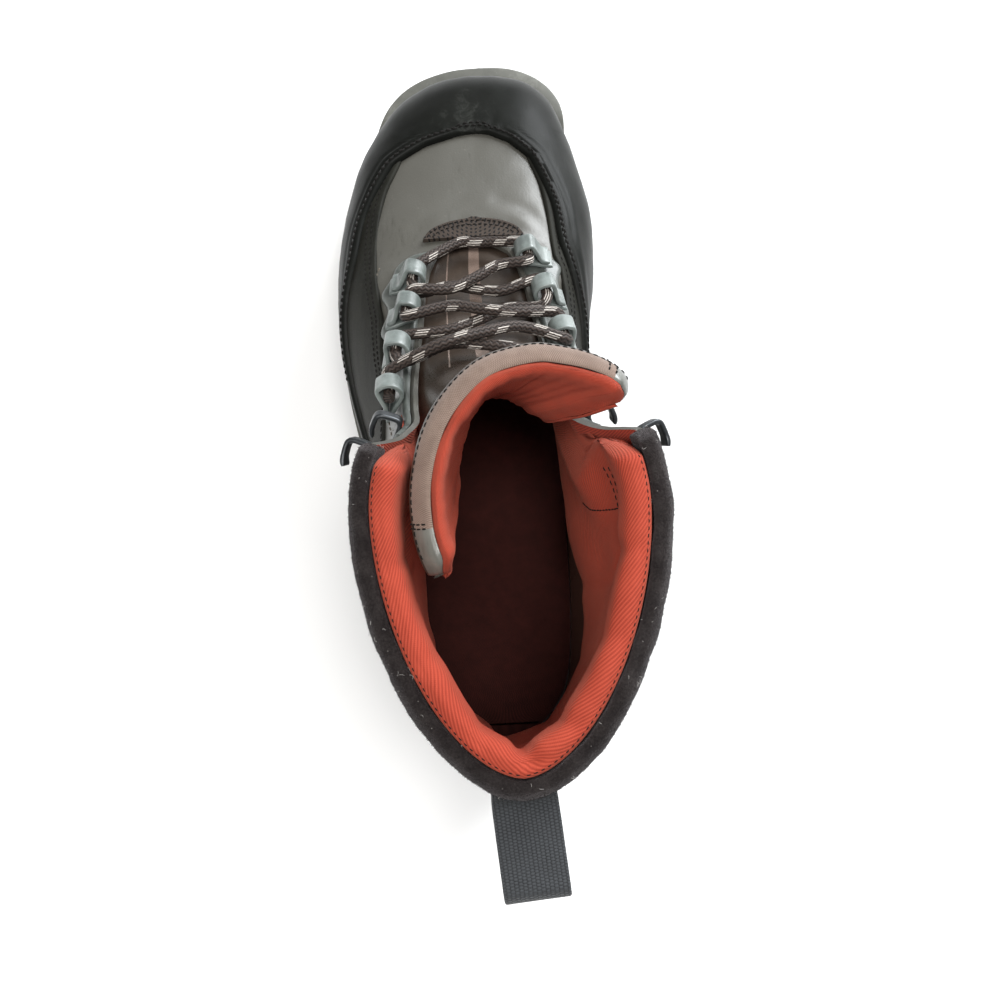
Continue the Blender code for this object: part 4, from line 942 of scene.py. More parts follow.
EYE = moulded("lace eye", (0.085, 0.100, 0.094), (0.180, 0.205, 0.195))
GUARD = guard_look()
HOOK = steel("hook metal", (0.030, 0.032, 0.034))
LACE = braid()
WEBBING = webbing_look()
# The insole cloth is dark maroon, painted darker still as the shade deep in the boot.
INSOLE = woven("insole cloth", (0.026, 0.0045, 0.0032), (0.058, 0.011, 0.008), 1.1, 0.95)
DARK_THREAD = thread("dark thread", (0.012, 0.011, 0.010))
PALE_THREAD = thread("pale thread", (0.150, 0.130, 0.105))
EDGE = leather("collar edge leather", (0.070, 0.068, 0.052), (0.150, 0.146, 0.118), 0.7, (0.4, 0.6))
FUZZ = Look("pile fibre", rough=1.0, spec=0.1)
FUZZ = FUZZ.colour(FUZZ.mix(FUZZ.noise(4.0), (0.012, 0.010, 0.010), (0.042, 0.036, 0.035))).mat
LINT = Look("lint", rough=1.0, spec=0.1)
LINT = LINT.colour(LINT.mix(LINT.noise(9.0), (0.26, 0.25, 0.24), (0.50, 0.48, 0.46))).mat


# ---------------------------------------------------------------- meshes

def build(name, points, faces, looks, slot, stands_for=(), uv=None, which=None, angle=50.0, weld=True):
    """A mesh piece from points in millimetres, riding on the boot."""
    mesh = bpy.data.meshes.new(name)
    mesh.from_pydata((np.asarray(points) * MM).tolist(), [], [tuple(int(v) for v in f) for f in faces])
    if uv is not None:
        layer = mesh.uv_layers.new(name="map")
        ids = np.empty(len(mesh.loops), dtype=int)
        mesh.loops.foreach_get("vertex_index", ids)
        layer.data.foreach_set("uv", np.asarray(uv, dtype=np.float32)[ids].ravel())
    for look in looks if isinstance(looks, (list, tuple)) else [looks]:
        mesh.materials.append(look)
    if which is not None:
        mesh.polygons.foreach_set("material_index", np.asarray(which, dtype=np.int32))
    work = bmesh.new()
    work.from_mesh(mesh)
    if weld:
        bmesh.ops.remove_doubles(work, verts=work.verts, dist=0.00002)
    bmesh.ops.recalc_face_normals(work, faces=work.faces)
    work.to_mesh(mesh)
    work.free()
    mesh.shade_smooth()
    mesh.set_sharp_from_angle(angle=math.radians(angle))
    obj = bpy.data.objects.new(name, mesh)
    bpy.context.scene.collection.objects.link(obj)
    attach(obj, "root")
    if stands_for:
        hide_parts(*stands_for)
    return obj


def tree_of(*objects):
    """A search tree over the surfaces of pieces, in millimetres."""
    points, faces = [], []
    for obj in objects:
        first = len(points)
        points += [tuple(v.co * 1000) for v in obj.data.vertices]
        faces += [[first + v for v in p.vertices] for p in obj.data.polygons]
    return BVHTree.FromPolygons(points, faces)


def line_at(row, side, shares):
    points, arc = half_curve(row, side)
    along = np.clip(shares, 0, 1) * arc[-1]
    return np.stack([np.interp(along, arc, points[:, k]) for k in range(3)], axis=1)


def normals_at(row, side, shares):
    step = 0.02
    low, high = np.clip(shares - step, 0, 1 - step), np.clip(shares + step, step, 1)
    down = line_at(row, side, high) - line_at(row, side, low)
    back, ahead = min(row + 0.08, COLLAR_ROW), max(row - 0.08, 0.0)
    along = line_at(back, side, shares) - line_at(ahead, side, shares)
    normal = np.cross(down, along) if side == 0 else np.cross(along, down)
    if row == 0:
        normal[:, 0] = 0.0
    fade = smooth((row - 13.0) / 0.7) * smooth((15.0 - row) / 0.6)
    normal[:, 2] *= 1.0 - fade * np.array([smooth((s - 0.82) / 0.14) for s in shares])
    return normal / np.maximum(np.linalg.norm(normal, axis=1, keepdims=True), 1e-9)


def skin_grid(rows, columns, place, side):
    """Points, normals and shares over the skin for rows and columns of one side."""
    points, normals, shares, places = [], [], [], []
    for row in rows:
        spots = [place(row, side, c) for c in columns]
        at = np.array([s[0] for s in spots])
        share = np.array([s[1] for s in spots])
        if np.ptp(at) < 1e-9:
            points.append(line_at(at[0], side, share))
            normals.append(normals_at(at[0], side, share))
        else:
            points.append(np.concatenate([line_at(a, side, np.array([s])) for a, s in zip(at, share)]))
            normals.append(np.concatenate([normals_at(a, side, np.array([s])) for a, s in zip(at, share)]))
        shares.append(share)
        places.append(at)
    return np.array(points), np.array(normals), np.array(shares), np.array(places)


def skin_piece(
    name, slot, node, rows, columns, place, high, low, looks, sides=(0, 1), inner=None, angle=50.0
):
    """A piece over the skin: high and low give its two layers' heights from the grid of each side."""
    grids = []
    for side in sides:
        base, normal, share, at = skin_grid(rows, columns, place, side)
        grid = {"p": base, "n": normal, "s": share, "r": at, "side": side}
        grid["edge"] = np.array([lengths(line) for line in base])
        run = np.linalg.norm(np.diff(base, axis=0), axis=2)
        grid["along"] = np.concatenate([np.zeros((1, len(columns))), np.cumsum(run, axis=0)])
        front, back = share <= 1e-9, (share >= 1 - 1e-9) & (at >= HEEL_ROW - 1e-9)
        grid["shared"] = np.where(front, 1, np.where(back, 2, np.where(at == 0, 3, 0)))
        if len(sides) == 1:
            grid["shared"][:] = 0
        grids.append(grid)
    if len(sides) == 2:
        joined = grids[0]["shared"] > 0
        mean = (grids[0]["n"] + grids[1]["n"]) / 2
        mean /= np.maximum(np.linalg.norm(mean, axis=2, keepdims=True), 1e-9)
        for grid in grids:
            grid["n"] = np.where(joined[..., None], mean, grid["n"])
    points, faces, uv, which = [], [], [], []
    n, m = grids[0]["s"].shape
    for layer, heights in enumerate((high, low)):
        made = []
        for grid in grids:
            spot = grid["p"] + grid["n"] * np.broadcast_to(heights(grid), (n, m))[..., None]
            level = (grid["s"] >= 1 - 1e-9) & (grid["r"] <= HEEL_ROW)
            spot[..., 2] = np.where(level, grid["p"][..., 2], spot[..., 2])
            made.append(spot)
        if len(sides) == 2:
            mean = (made[0] + made[1]) / 2
            made = [np.where(joined[..., None], mean, spot) for spot in made]
        for grid, spot in zip(grids, made):
            first = len(points)
            points += list(spot.reshape(-1, 3))
            uv += list(np.stack([grid["along"], grid["edge"]], axis=2).reshape(-1, 2) / 10.0)
            for i in range(n - 1):
                for j in range(m - 1):
                    a, b = first + i * m + j, first + (i + 1) * m + j
                    quad = [a, a + 1, b + 1, b]
                    faces.append(quad[::-1] if (grid["side"] == 0) == (layer == 0) else quad)
                    which.append(0 if layer == 0 or inner is None else inner)
    for k, grid in enumerate(grids):
        rim = [(i * m, (i + 1) * m) for i in range(n - 1)]
        rim += [((i + 1) * m + m - 1, i * m + m - 1) for i in range(n - 1)]
        rim += [(j + 1, j) for j in range(m - 1)]
        rim += [((n - 1) * m + j, (n - 1) * m + j + 1) for j in range(m - 1)]
        flat = grid["shared"].ravel()
        top, low_first = k * n * m, (len(grids) + k) * n * m
        for a, b in rim:
            if flat[a] and flat[a] == flat[b]:
                continue
            faces.append([top + a, top + b, low_first + b, low_first + a])
            which.append(0)
    return build(name, points, faces, looks, slot, (node,) if node else (), uv, which, angle)


def trough(points, line, width, axes=(0, 1)):
    """1 on a line of points, falling softly to 0 over width; measured in the plane of two axes."""
    line = np.asarray(line, dtype=float)
    flat = points[..., list(axes)]
    best = np.full(flat.shape[:-1], 1e9)
    along = np.zeros(flat.shape[:-1])
    for k, (a, b) in enumerate(zip(line[:-1], line[1:])):
        way = b - a
        t = np.clip(((flat - a) @ way) / (way @ way), 0, 1)
        dist = np.linalg.norm(flat - (a + t[..., None] * way), axis=-1)
        closer = dist < best
        best = np.where(closer, dist, best)
        along = np.where(closer, (k + t) / (len(line) - 1), along)
    ends = np.clip(np.sin(np.pi * np.clip(along, 0, 1)), 0, 1) ** 0.5
    return np.exp(-((best / width) ** 2)) * ends


def waves(points, size, seed):
    """A smooth field from -1 to 1, from a few sines with fixed seeds."""
    fixed = np.random.default_rng(seed)
    total = np.zeros(points.shape[:-1])
    for _ in range(7):
        way = fixed.normal(size=3)
        way /= np.linalg.norm(way)
        total += np.sin(
            points @ way * (2 * np.pi / (size * fixed.uniform(0.7, 1.5))) + fixed.uniform(0, 6.28)
        )
    return total / 3.0


def rounded(distance, radius):
    """From 0 at an edge to 1 at a radius from it, as a quarter circle."""
    t = np.clip(distance / radius, 0, 1)
    return np.sqrt(np.clip(1 - (1 - t) ** 2, 0, 1))


def refine(grid, rows, columns):
    """A finer grid through every point of a grid."""
    grid = np.asarray(grid, dtype=float)
    first = np.array([catmull_rom(grid, t) for t in np.linspace(0, len(grid) - 1, rows)])
    turned = first.swapaxes(0, 1)
    return np.array(
        [catmull_rom(turned, t) for t in np.linspace(0, turned.shape[0] - 1, columns)]
    ).swapaxes(0, 1)


def lengths(line):
    return np.concatenate([[0.0], np.cumsum(np.linalg.norm(np.diff(line, axis=0), axis=1))])


def distance_to(points, line):
    """How far each point of a grid is from a line of points."""
    line = np.asarray(line, dtype=float)
    a, way = line[:-1], np.diff(line, axis=0)
    keep = np.sum(way * way, axis=1) > 1e-9
    a, way = a[keep], way[keep]
    flat = points.reshape(-1, 3)
    best = np.full(len(flat), 1e9)
    for start, run in zip(a, way):
        t = np.clip((flat - start) @ run / (run @ run), 0, 1)
        best = np.minimum(best, np.linalg.norm(flat - start - t[:, None] * run, axis=1))
    return best.reshape(points.shape[:-1])


def resample(line, step):
    line = np.asarray(line, dtype=float)
    arc = lengths(line)
    at = np.linspace(0, arc[-1], max(int(round(arc[-1] / step)), 1) + 1)
    return np.stack([np.interp(at, arc, line[:, k]) for k in range(3)], axis=1)


def round_tube(line, radius, sides, taper=None):
    """Points, faces and UV values of a tube along a line."""
    run = np.gradient(line, axis=0)
    run /= np.linalg.norm(run, axis=1, keepdims=True)
    up = np.cross(run[0], [0.3, 0.2, 1.0])
    arc = lengths(line)
    points, faces, uv = [], [], []
    for i, (point, way) in enumerate(zip(line, run)):
        up = up - way * (up @ way)
        up /= np.linalg.norm(up)
        other = np.cross(way, up)
        r = radius if taper is None else radius * taper[i]
        for k in range(sides + 1):
            a = 2 * math.pi * k / sides
            points.append(point + r * (up * math.cos(a) + other * math.sin(a)))
            uv.append((arc[i] / 10.0, k / sides))
    m = sides + 1
    for i in range(len(line) - 1):
        for k in range(sides):
            faces.append([i * m + k, i * m + k + 1, (i + 1) * m + k + 1, (i + 1) * m + k])
    faces.append([k for k in range(sides)][::-1])
    faces.append([(len(line) - 1) * m + k for k in range(sides)])
    return points, faces, uv


class Threads:
    """Many stitches gathered into one mesh."""

    def __init__(self):
        self.points, self.faces, self.uv = [], [], []

    def add(self, points, faces, uv):
        first = len(self.points)
        self.points += list(points)
        self.faces += [[first + v for v in face] for face in faces]
        self.uv += list(uv)

    def row(self, line, tree, pitch=2.6, length=1.9, radius=0.32, lift=0.12, sink=0.35):
        """Stitches along a line, laid on the surface that the tree holds."""
        line = resample(line, 0.5)
        arc = lengths(line)
        at = pitch / 2
        while at + length / 2 < arc[-1]:
            spots = []
            for t in (-0.5, -0.25, 0.0, 0.25, 0.5):
                here = np.array([np.interp(at + t * length, arc, line[:, k]) for k in range(3)])
                spot, normal, _, _ = tree.find_nearest(Vector(here))
                if spot is None:
                    break
                depth = lift - sink * (2 * t) ** 4
                spots.append(np.array(spot) + np.array(normal) * depth)
            if len(spots) == 5:
                self.add(*round_tube(np.array(spots), radius, 6, taper=(0.7, 1.0, 1.05, 1.0, 0.7)))
            at += pitch

    def piece(self, name, look, slot):
        return build(name, self.points, self.faces, look, slot, uv=self.uv, weld=False, angle=70)


def band_section(width, thickness, radius, arc=4, flat=5):
    """A rounded rectangle, as points of (across, up) all round."""
    half, low = width / 2 - radius, thickness / 2 - radius
    ring = []
    for x, y, start in ((half, -low, -90), (half, low, 0), (-half, low, 90), (-half, -low, 180)):
        for k in range(arc + 1):
            turn = math.radians(start + 90 * k / arc)
            ring.append((x + radius * math.cos(turn), y + radius * math.sin(turn)))
        if start in (0, 180):
            way = -1 if start == 0 else 1
            ring += [(mix(x, -x, k / (flat + 1)), -way * thickness / 2) for k in range(1, flat + 1)]
    return ring


def ribbon(
    name, slot, node, look, path, thickness, width, ways, steps=60, radius=None, widths=None, wave=0.0
):
    """A band with rounded edges, bent along a smooth path in the plane of along and up."""
    origin, along, up, across = ways
    radius = min(radius or thickness * 0.45, thickness * 0.48)
    path = np.asarray(path, dtype=float)
    fine = np.array([catmull_rom(path, t) for t in np.linspace(0, len(path) - 1, 14 * len(path))])
    arc = lengths(fine)
    at = np.linspace(0, arc[-1], steps)
    fine = np.stack([np.interp(at, arc, fine[:, k]) for k in range(2)], axis=1)
    run = np.gradient(fine, axis=0)
    run /= np.linalg.norm(run, axis=1, keepdims=True)
    off = np.stack([-run[:, 1], run[:, 0]], axis=1)
    points, faces, uv = [], [], []
    for i in range(steps):
        end = min(i, steps - 1 - i)
        shrink = 1.0 if end >= 2 else (0.6, 0.9)[end]
        wide = width * (widths(i / (steps - 1)) if widths else 1.0)
        ring = band_section(wide, thickness, radius)
        for flat, thick in ring:
            spot = fine[i] + off[i] * thick * shrink
            bend = wave * math.sin(at[i] * 0.55 + flat * 0.2)
            points.append(origin + along * spot[0] + up * (spot[1] + bend) + across * flat)
            uv.append((at[i] / 10.0, flat / 10.0))
    m = len(ring)
    for i in range(steps - 1):
        for k in range(m):
            n = (k + 1) % m
            faces.append([i * m + k, i * m + n, (i + 1) * m + n, (i + 1) * m + k])
    faces.append(list(range(m))[::-1])
    faces.append([(steps - 1) * m + k for k in range(m)])
    return build(name, points, faces, look, slot, (node,), uv, weld=False, angle=50)


# ---------------------------------------------------------------- the upper and what lies on it

def cluster(*spans):
    """Values over spans of (start, end, count), without doubles."""
    values = []
    for start, end, count in spans:
        values += list(np.linspace(start, end, count))
    return sorted(set(round(float(v), 4) for v in values))


FINE = 1.0


def many(count):
    return max(int(count * FINE), 4)


@lru_cache(maxsize=None)
def leather_edge(side, part):
    return row_at_height(side, part, COLLAR_TOP - LEATHER_DROP)


def fine_leather_place(row, side, part):
    start, at = 15.3, row
    if row > start:
        at = mix(start, leather_edge(side, round(float(part), 5)), (row - start) / (COLLAR_ROW - start))
    return at, mix(throat_share(at, side), 1.0, part)


VAMP_CREASES = (
    # points in x and y over the vamp, depth, width
    (((-34, 160), (-24, 170), (-8, 176), (10, 174), (26, 165), (34, 152)), 0.55, 4.5),
    (((-42, 150), (-36, 163), (-22, 181), (0, 188)), 0.40, 4.0),
    (((38, 146), (33, 162), (20, 180), (4, 187)), 0.40, 4.0),
    (((-50, 128), (-45, 142), (-36, 152)), 0.8, 4.0),
    (((-53, 112), (-47, 126), (-38, 138)), 0.7, 4.0),
    (((42, 122), (37, 136), (30, 146)), 0.7, 3.5),
    (((44, 106), (40, 120), (32, 130)), 0.6, 3.5),
)
SHAFT_CREASES = (
    # points in y and z up the side of the shaft, depth, width
    (((-38, 108), (-10, 101), (20, 104), (48, 118)), 1.2, 6.0),
    (((-36, 122), (-14, 116), (14, 119), (40, 132)), 0.9, 5.0),
    (((-30, 93), (0, 86), (30, 88), (62, 100)), 1.0, 6.0),
    (((10, 145), (34, 140), (56, 148)), 0.7, 5.0),
    (((-40, 146), (-20, 142), (2, 146)), 0.6, 5.0),
    (((52, 78), (76, 80), (96, 90)), 0.8, 5.0),
    (((-34, 170), (-12, 166), (16, 169), (40, 174)), 0.5, 6.0),
)


def upper_relief(grid):
    points = grid["p"]
    over = points[..., 2]
    height = 0.35 * waves(points, 46.0, 3) + 0.12 * waves(points, 17.0, 5)
    front = np.clip((points[..., 1] - 96) / 12, 0, 1)
    for line, depth, width in VAMP_CREASES:
        height = height - 1.4 * depth * trough(points, line, width * 0.8) * front
        height = height + 0.45 * depth * trough(points, np.asarray(line) + (0, width * 1.7), width) * front
    for line, depth, width in SHAFT_CREASES:
        side_on = np.clip(np.abs(grid["n"][..., 0]) * 1.6, 0, 1)
        height = height - 1.3 * depth * trough(points, line, width * 0.85, (1, 2)) * side_on
        height = height + 0.5 * depth * trough(
            points, np.asarray(line) + (0, width * 1.6), width, (1, 2)
        ) * side_on
    seam = np.exp(-((points[..., 2] - 142 - 0.10 * points[..., 1]) / 1.0) ** 2) * (points[..., 1] < 66)
    height = height - 0.5 * seam
    edge = 1.0 - rounded(np.abs(grid["edge"]), 1.2)
    fade = np.clip((over - 26) / 10, 0, 1) * np.clip(grid["edge"] / 6, 0, 1)
    return height * fade - 0.5 * edge * (grid["r"] > THROAT_ROW) * (over < 200)


def dress_upper():
    rows = cluster(
        (0, 4.2, many(30)), (4.2, 6.86, many(40)), (6.9, 7.5, many(20)), (7.5, 13.2, many(100)),
        (13.2, 14.0, many(24)), (14.0, 15.3, many(20)), (15.3, 19, many(34))
    )
    columns = np.linspace(0, 1, many(64))

    def high(grid):
        relief = upper_relief(grid)
        under = np.zeros_like(grid["s"])
        for i, row in enumerate(rows):
            if row <= HEEL_ROW:
                gap = grid["s"][i] - smooth_rand_share(row, grid["side"])
            else:
                gap = (HEEL_STACK + RAND_HEEL - grid["p"][i, :, 2]) / 200.0
            under[i] = np.clip((gap + 0.012) / 0.02, 0, 1)
        return relief * (1 - under) - 0.25 * under

    return skin_piece(
        "upper_skin", "upper_leather", "upper", rows, columns, fine_leather_place, high, lambda grid: -WALL,
        [LEATHER, INNER], inner=1
    )


def inset_edge(line, tree, distance, away):
    """A line moved over a surface, away from a point, by a distance."""
    line = resample(line, 1.5)
    run = np.gradient(line, axis=0)
    moved = []
    for point, way in zip(line, run):
        normal = tree.find_nearest(Vector(point))[1]
        out = np.cross(way, np.array(normal))
        out /= max(np.linalg.norm(out), 1e-9)
        if out @ (point - np.asarray(away)) < 0:
            out = -out
        moved.append(point + out * distance)
    moved = np.array(moved)
    for _ in range(12):
        moved[1:-1] = (moved[:-2] + 2 * moved[1:-1] + moved[2:]) / 4
    return np.array([tree.find_nearest(Vector(point))[0] for point in moved])


@lru_cache(maxsize=None)
def smooth_rand_share(row, side):
    """The rand's edge with its corners eased, through the same table."""
    table = np.array(RAND_EDGE)
    if row <= TOE_CAP_ROW:
        return 0.0
    if row < table[1, 0]:
        return float(table[1, 1 + side] * math.sqrt((row - TOE_CAP_ROW) / (table[1, 0] - TOE_CAP_ROW)))
    at = float(np.interp(row, table[:, 0], np.arange(len(table))))
    shares = [catmull_rom(table[:, 1:], at)[side]]
    straight = between(RAND_EDGE, row)[side]
    value = mix(straight, shares[0], 0.85)
    level = share_at_height(row, side, HEEL_STACK + RAND_HEEL)
    return max(mix(value, level, smooth((row - 9) / 2)), 0.0)


def dress_rand():
    last = row_at_back(HEEL_STACK + RAND_HEEL)
    rows = cluster(
        (0, 4.25, many(34)), (4.25, 4.6, many(24)), (4.6, 7.0, many(36)), (7.0, 13.2, many(60)),
        (13.2, 14.0, many(24)), (14.0, last, many(16))
    )
    columns = np.array(
        [
            0, 0.004, 0.009, 0.016, 0.026, 0.038, 0.05, 0.065, 0.08, 0.095, 0.11, 0.128, 0.146, 0.165,
            0.185, 0.21, 0.24, 0.27, 0.3, 0.34, 0.38, 0.42, 0.46, 0.5, 0.54, 0.58, 0.62, 0.66, 0.7, 0.74,
            0.78, 0.82, 0.855, 0.885, 0.91, 0.93, 0.95, 0.965, 0.98, 0.99, 1.0
        ]
    )

    def place(row, side, part):
        edge = 1.0 if row >= last - 1e-6 else smooth_rand_share(row, side) if row <= 14 else share_at_height(
            row, side, HEEL_STACK + RAND_HEEL
        )
        return row, mix(min(edge, 1.0), foot_end(row, side), part)

    def high(grid):
        keep = np.array(rows) >= TOE_CAP_ROW - 1e-6
        from_edge = distance_to(grid["p"], grid["p"][keep, 0])
        height = RAND_WALL * (0.15 + 0.85 * rounded(from_edge, 1.3))
        bead = bump(from_edge, 1.9, 1.1) * 0.45
        groove = bump(from_edge, 3.6, 0.5) * 0.5 + bump(from_edge, 6.2, 0.5) * 0.35
        second = bump(from_edge, 9.0, 1.4) * 0.35 * (grid["side"] == 1) * np.clip(
            (grid["r"] - 4.5) / 1.5, 0, 1
        )
        lower = grid["edge"][:, -1:] - grid["edge"]
        roll = 0.8 * (1 - rounded(lower, 2.0))
        body = 0.25 * waves(grid["p"], 30.0, 11) + 0.10 * waves(grid["p"], 9.0, 12)
        return COVER + height + bead - groove + second - roll + body * np.clip(from_edge / 12, 0, 1)

    return skin_piece(
        "rand_skin", "rand_rubber", "rand", rows, columns, place, high, lambda grid: COVER * 0.4, RUBBER,
        angle=60
    )


@lru_cache(maxsize=None)
def counter_share(row, side):
    """The counter's top edge: level round the heel, and down to the rand at its front end."""
    rand = smooth_rand_share(min(row, HEEL_ROW), side)
    low = skin(min(row, HEEL_ROW), side, rand)[2]
    height = mix(low + 1.0, HEEL_STACK + COUNTER_HEIGHT, smooth((row - 10.8) / 2.3))
    return min(max(share_at_height(row, side, height), 0.3), 1.0)


def dress_counter():
    last = row_at_back(HEEL_STACK + COUNTER_HEIGHT)
    start = row_at_back(HEEL_STACK + RAND_HEEL)
    rows = cluster(
        (10.6, 13.2, many(36)), (13.2, 14.0, many(20)), (14.0, start, many(12)), (start, last, many(36))
    )
    columns = [
        0, 0.01, 0.025, 0.045, 0.07, 0.1, 0.14, 0.18, 0.22, 0.27, 0.32, 0.38, 0.44, 0.5, 0.56, 0.62, 0.68,
        0.74, 0.8, 0.85, 0.9, 0.94, 0.97, 1.0
    ]

    def place(row, side, part):
        edge = counter_share(row, side)
        if row > start:
            low = 1.0
        elif row <= 14:
            low = smooth_rand_share(row, side) - length_share(row, side, SEAM_GAP)
        else:
            low = share_at_height(row, side, HEEL_STACK + RAND_HEEL + 1.2)
        return row, mix(min(edge, low), low, part)

    def high(grid):
        top = last - grid["r"]
        line = np.concatenate([grid["p"][0, ::-1], grid["p"][:, 0]])
        side_edge = np.minimum(distance_to(grid["p"], line), 50 + top)
        height = COUNTER_WALL * (0.1 + 0.9 * rounded(side_edge, 1.4))
        groove = bump(grid["p"][..., 2], 72, 1.2) * 0.9 * (grid["p"][..., 1] < 20)
        bead = bump(side_edge, 2.0, 1.0) * 0.35
        return COVER + height + bead - groove + 0.12 * waves(grid["p"], 18.0, 21)

    return skin_piece(
        "counter_skin", "counter_leather", "heel_counter", rows, columns, place, high,
        lambda grid: COVER * 0.3, COUNTER, angle=60
    )


# The top edge of the dark side panels that rise from the rand to the instep.
PANEL_EDGE = (
    # section, lateral, medial
    (4.90, 0.370, 0.280),
    (5.60, 0.410, 0.318),
    (6.50, 0.408, 0.328),
    (7.40, 0.380, 0.330),
    (8.40, 0.340, 0.320),
    (9.20, 0.308, 0.300),
    (9.80, 0.300, 0.298),
    (10.3, 0.345, 0.345),
    (10.8, 0.480, 0.480),
    (11.2, 0.640, 0.640),
    (11.6, 0.780, 0.780),
)


def panel_share(row, side):
    table = np.array(PANEL_EDGE)
    at = float(np.interp(row, table[:, 0], np.arange(len(table))))
    clear = throat_share(row, side) + length_share(row, side, EYESTAY_INSET + EYESTAY_WIDTH * 0.82)
    return max(catmull_rom(table[:, 1:], at)[side], clear)


def dress_panels():
    made = []
    rows = cluster((4.9, 11.55, many(150)))
    columns = [0, 0.012, 0.03, 0.05, 0.08, 0.12, 0.17, 0.24, 0.32, 0.42, 0.54, 0.68, 0.84, 1.0]

    def place(row, side, part):
        low = smooth_rand_share(row, side) + length_share(row, side, 3.0)
        return row, mix(min(panel_share(row, side), low - 0.001), low, part)

    def high(grid):
        edge = distance_to(grid["p"], grid["p"][:, 0])
        groove = bump(edge, 3.0, 0.6) * 0.25
        return 0.15 + 1.2 * rounded(edge, 1.0) - groove + 0.15 * waves(grid["p"], 20.0, 61)

    for side, name in enumerate(("lateral", "medial")):
        piece = skin_piece(
            f"side_panel_{name}", "rand_rubber", None, rows, columns, place, high, lambda grid: -0.3, PANEL,
            sides=(side,), angle=60
        )
        made.append(piece)
    return made


def dress_eyestays():
    made = []
    for side, name in enumerate(("eyestay_lateral", "eyestay_medial")):
        rows = cluster((7.15, 7.5, many(14)), (7.5, 14, many(110)), (14, 15.2, many(14)))
        columns = [
            0, 0.02, 0.05, 0.09, 0.14, 0.2, 0.28, 0.36, 0.45, 0.54, 0.63, 0.72, 0.8, 0.86, 0.91, 0.95, 0.98,
            1.0
        ]
        spots = [pair[side] for pair in EYES]

        def place(row, at_side, part):
            at, edge = fine_leather_place(row, at_side, 0.0)
            bump = sum(math.exp(-(((row - spot) / 0.26) ** 2)) for spot in spots)
            width = EYESTAY_WIDTH * (0.62 + 0.20 * min(bump, 1.0)) if row < 12 else EYESTAY_WIDTH * 0.62
            ends = math.sqrt(
                max(1 - max(1 - (row - 7.15) / 0.35, 0) ** 2, 0.0)
            ) * math.sqrt(max(1 - max(1 - (15.2 - row) / 0.5, 0) ** 2, 0.0))
            start = edge + length_share(at, at_side, EYESTAY_INSET)
            return at, start + length_share(at, at_side, width * (0.25 + 0.75 * ends)) * part

        def high(grid):
            ring = [grid["p"][:, 0], grid["p"][-1, :], grid["p"][::-1, -1], grid["p"][0, ::-1]]
            edge = distance_to(grid["p"], np.concatenate(ring))
            rim = bump(edge, 1.8, 0.8) * 0.3
            return COVER + EYESTAY_WALL * (
                0.1 + 0.9 * rounded(edge, 1.1)
            ) + rim - 0.15 * np.clip(edge - 2.5, 0, 2)

        made.append(
            skin_piece(
                f"{name}_skin", "eyestay_plastic", name, rows, columns, place, high,
                lambda grid: COVER * 0.3, EYESTAY, sides=(side,), angle=60
            )
        )
    return made


def dress_guard():
    rows = cluster((6.38, 6.42, many(6)), (6.42, 6.86, many(26)))

    def place(row, side, part):
        reach = length_share(row, side, GUARD_WIDTH * math.sqrt(max(1 - (6.86 - row) ** 2 / 0.482**2, 0.0)))
        return row, reach * part

    def high(grid):
        edge = distance_to(grid["p"], grid["p"][:, -1])
        rim = bump(edge, 1.2, 0.8) * 0.35
        return COVER + GUARD_WALL * (0.1 + 0.9 * rounded(edge, 1.0)) + rim

    return skin_piece(
        "throat_guard_skin", "guard_fabric", "throat_guard", rows, np.linspace(0, 1, many(22)), place, high,
        lambda grid: COVER * 0.3, GUARD, angle=60
    )


# ---------------------------------------------------------------- the collar

def collar_rings(profile, front, count, steps):
    """Rings round the collar from the lateral front corner by the heel to the medial one."""
    parts = list(np.linspace(0, 1, count) ** 0.9)
    rings = []
    for side, line in ((0, parts), (1, parts[-2::-1])):
        for part in line:
            rings.append(
                [collar_point(side, float(part), depth, inset, front(depth)) for depth, inset in profile]
            )
    middle = len(parts) - 1
    other = [collar_point(1, 1.0, depth, inset, front(depth)) for depth, inset in profile]
    rings[middle] = [(a + b) / 2 for a, b in zip(rings[middle], other)]
    rings = np.array(rings)
    count = len(profile)
    closed = np.concatenate([rings, rings[:, :1]], axis=1)
    fine = []
    for ring in closed:
        table = np.concatenate([ring[-2:-1], ring, ring[1:2]])
        fine.append([catmull_rom(table, 1 + t) for t in np.linspace(0, count, steps, endpoint=False)])
    return np.array(fine)


def ring_normals(rings):
    along = np.gradient(rings, axis=0)
    round_ = np.roll(rings, -1, axis=1) - np.roll(rings, 1, axis=1)
    normal = np.cross(along, round_)
    normal /= np.maximum(np.linalg.norm(normal, axis=2, keepdims=True), 1e-9)
    centre = rings.mean(axis=1, keepdims=True)
    sign = np.sign(np.sum(normal * (rings - centre)))
    return normal * sign


def bump(values, middle, width):
    """A round rise of height one where the values pass the middle."""
    return np.exp(-(((values - middle) / width) ** 2))


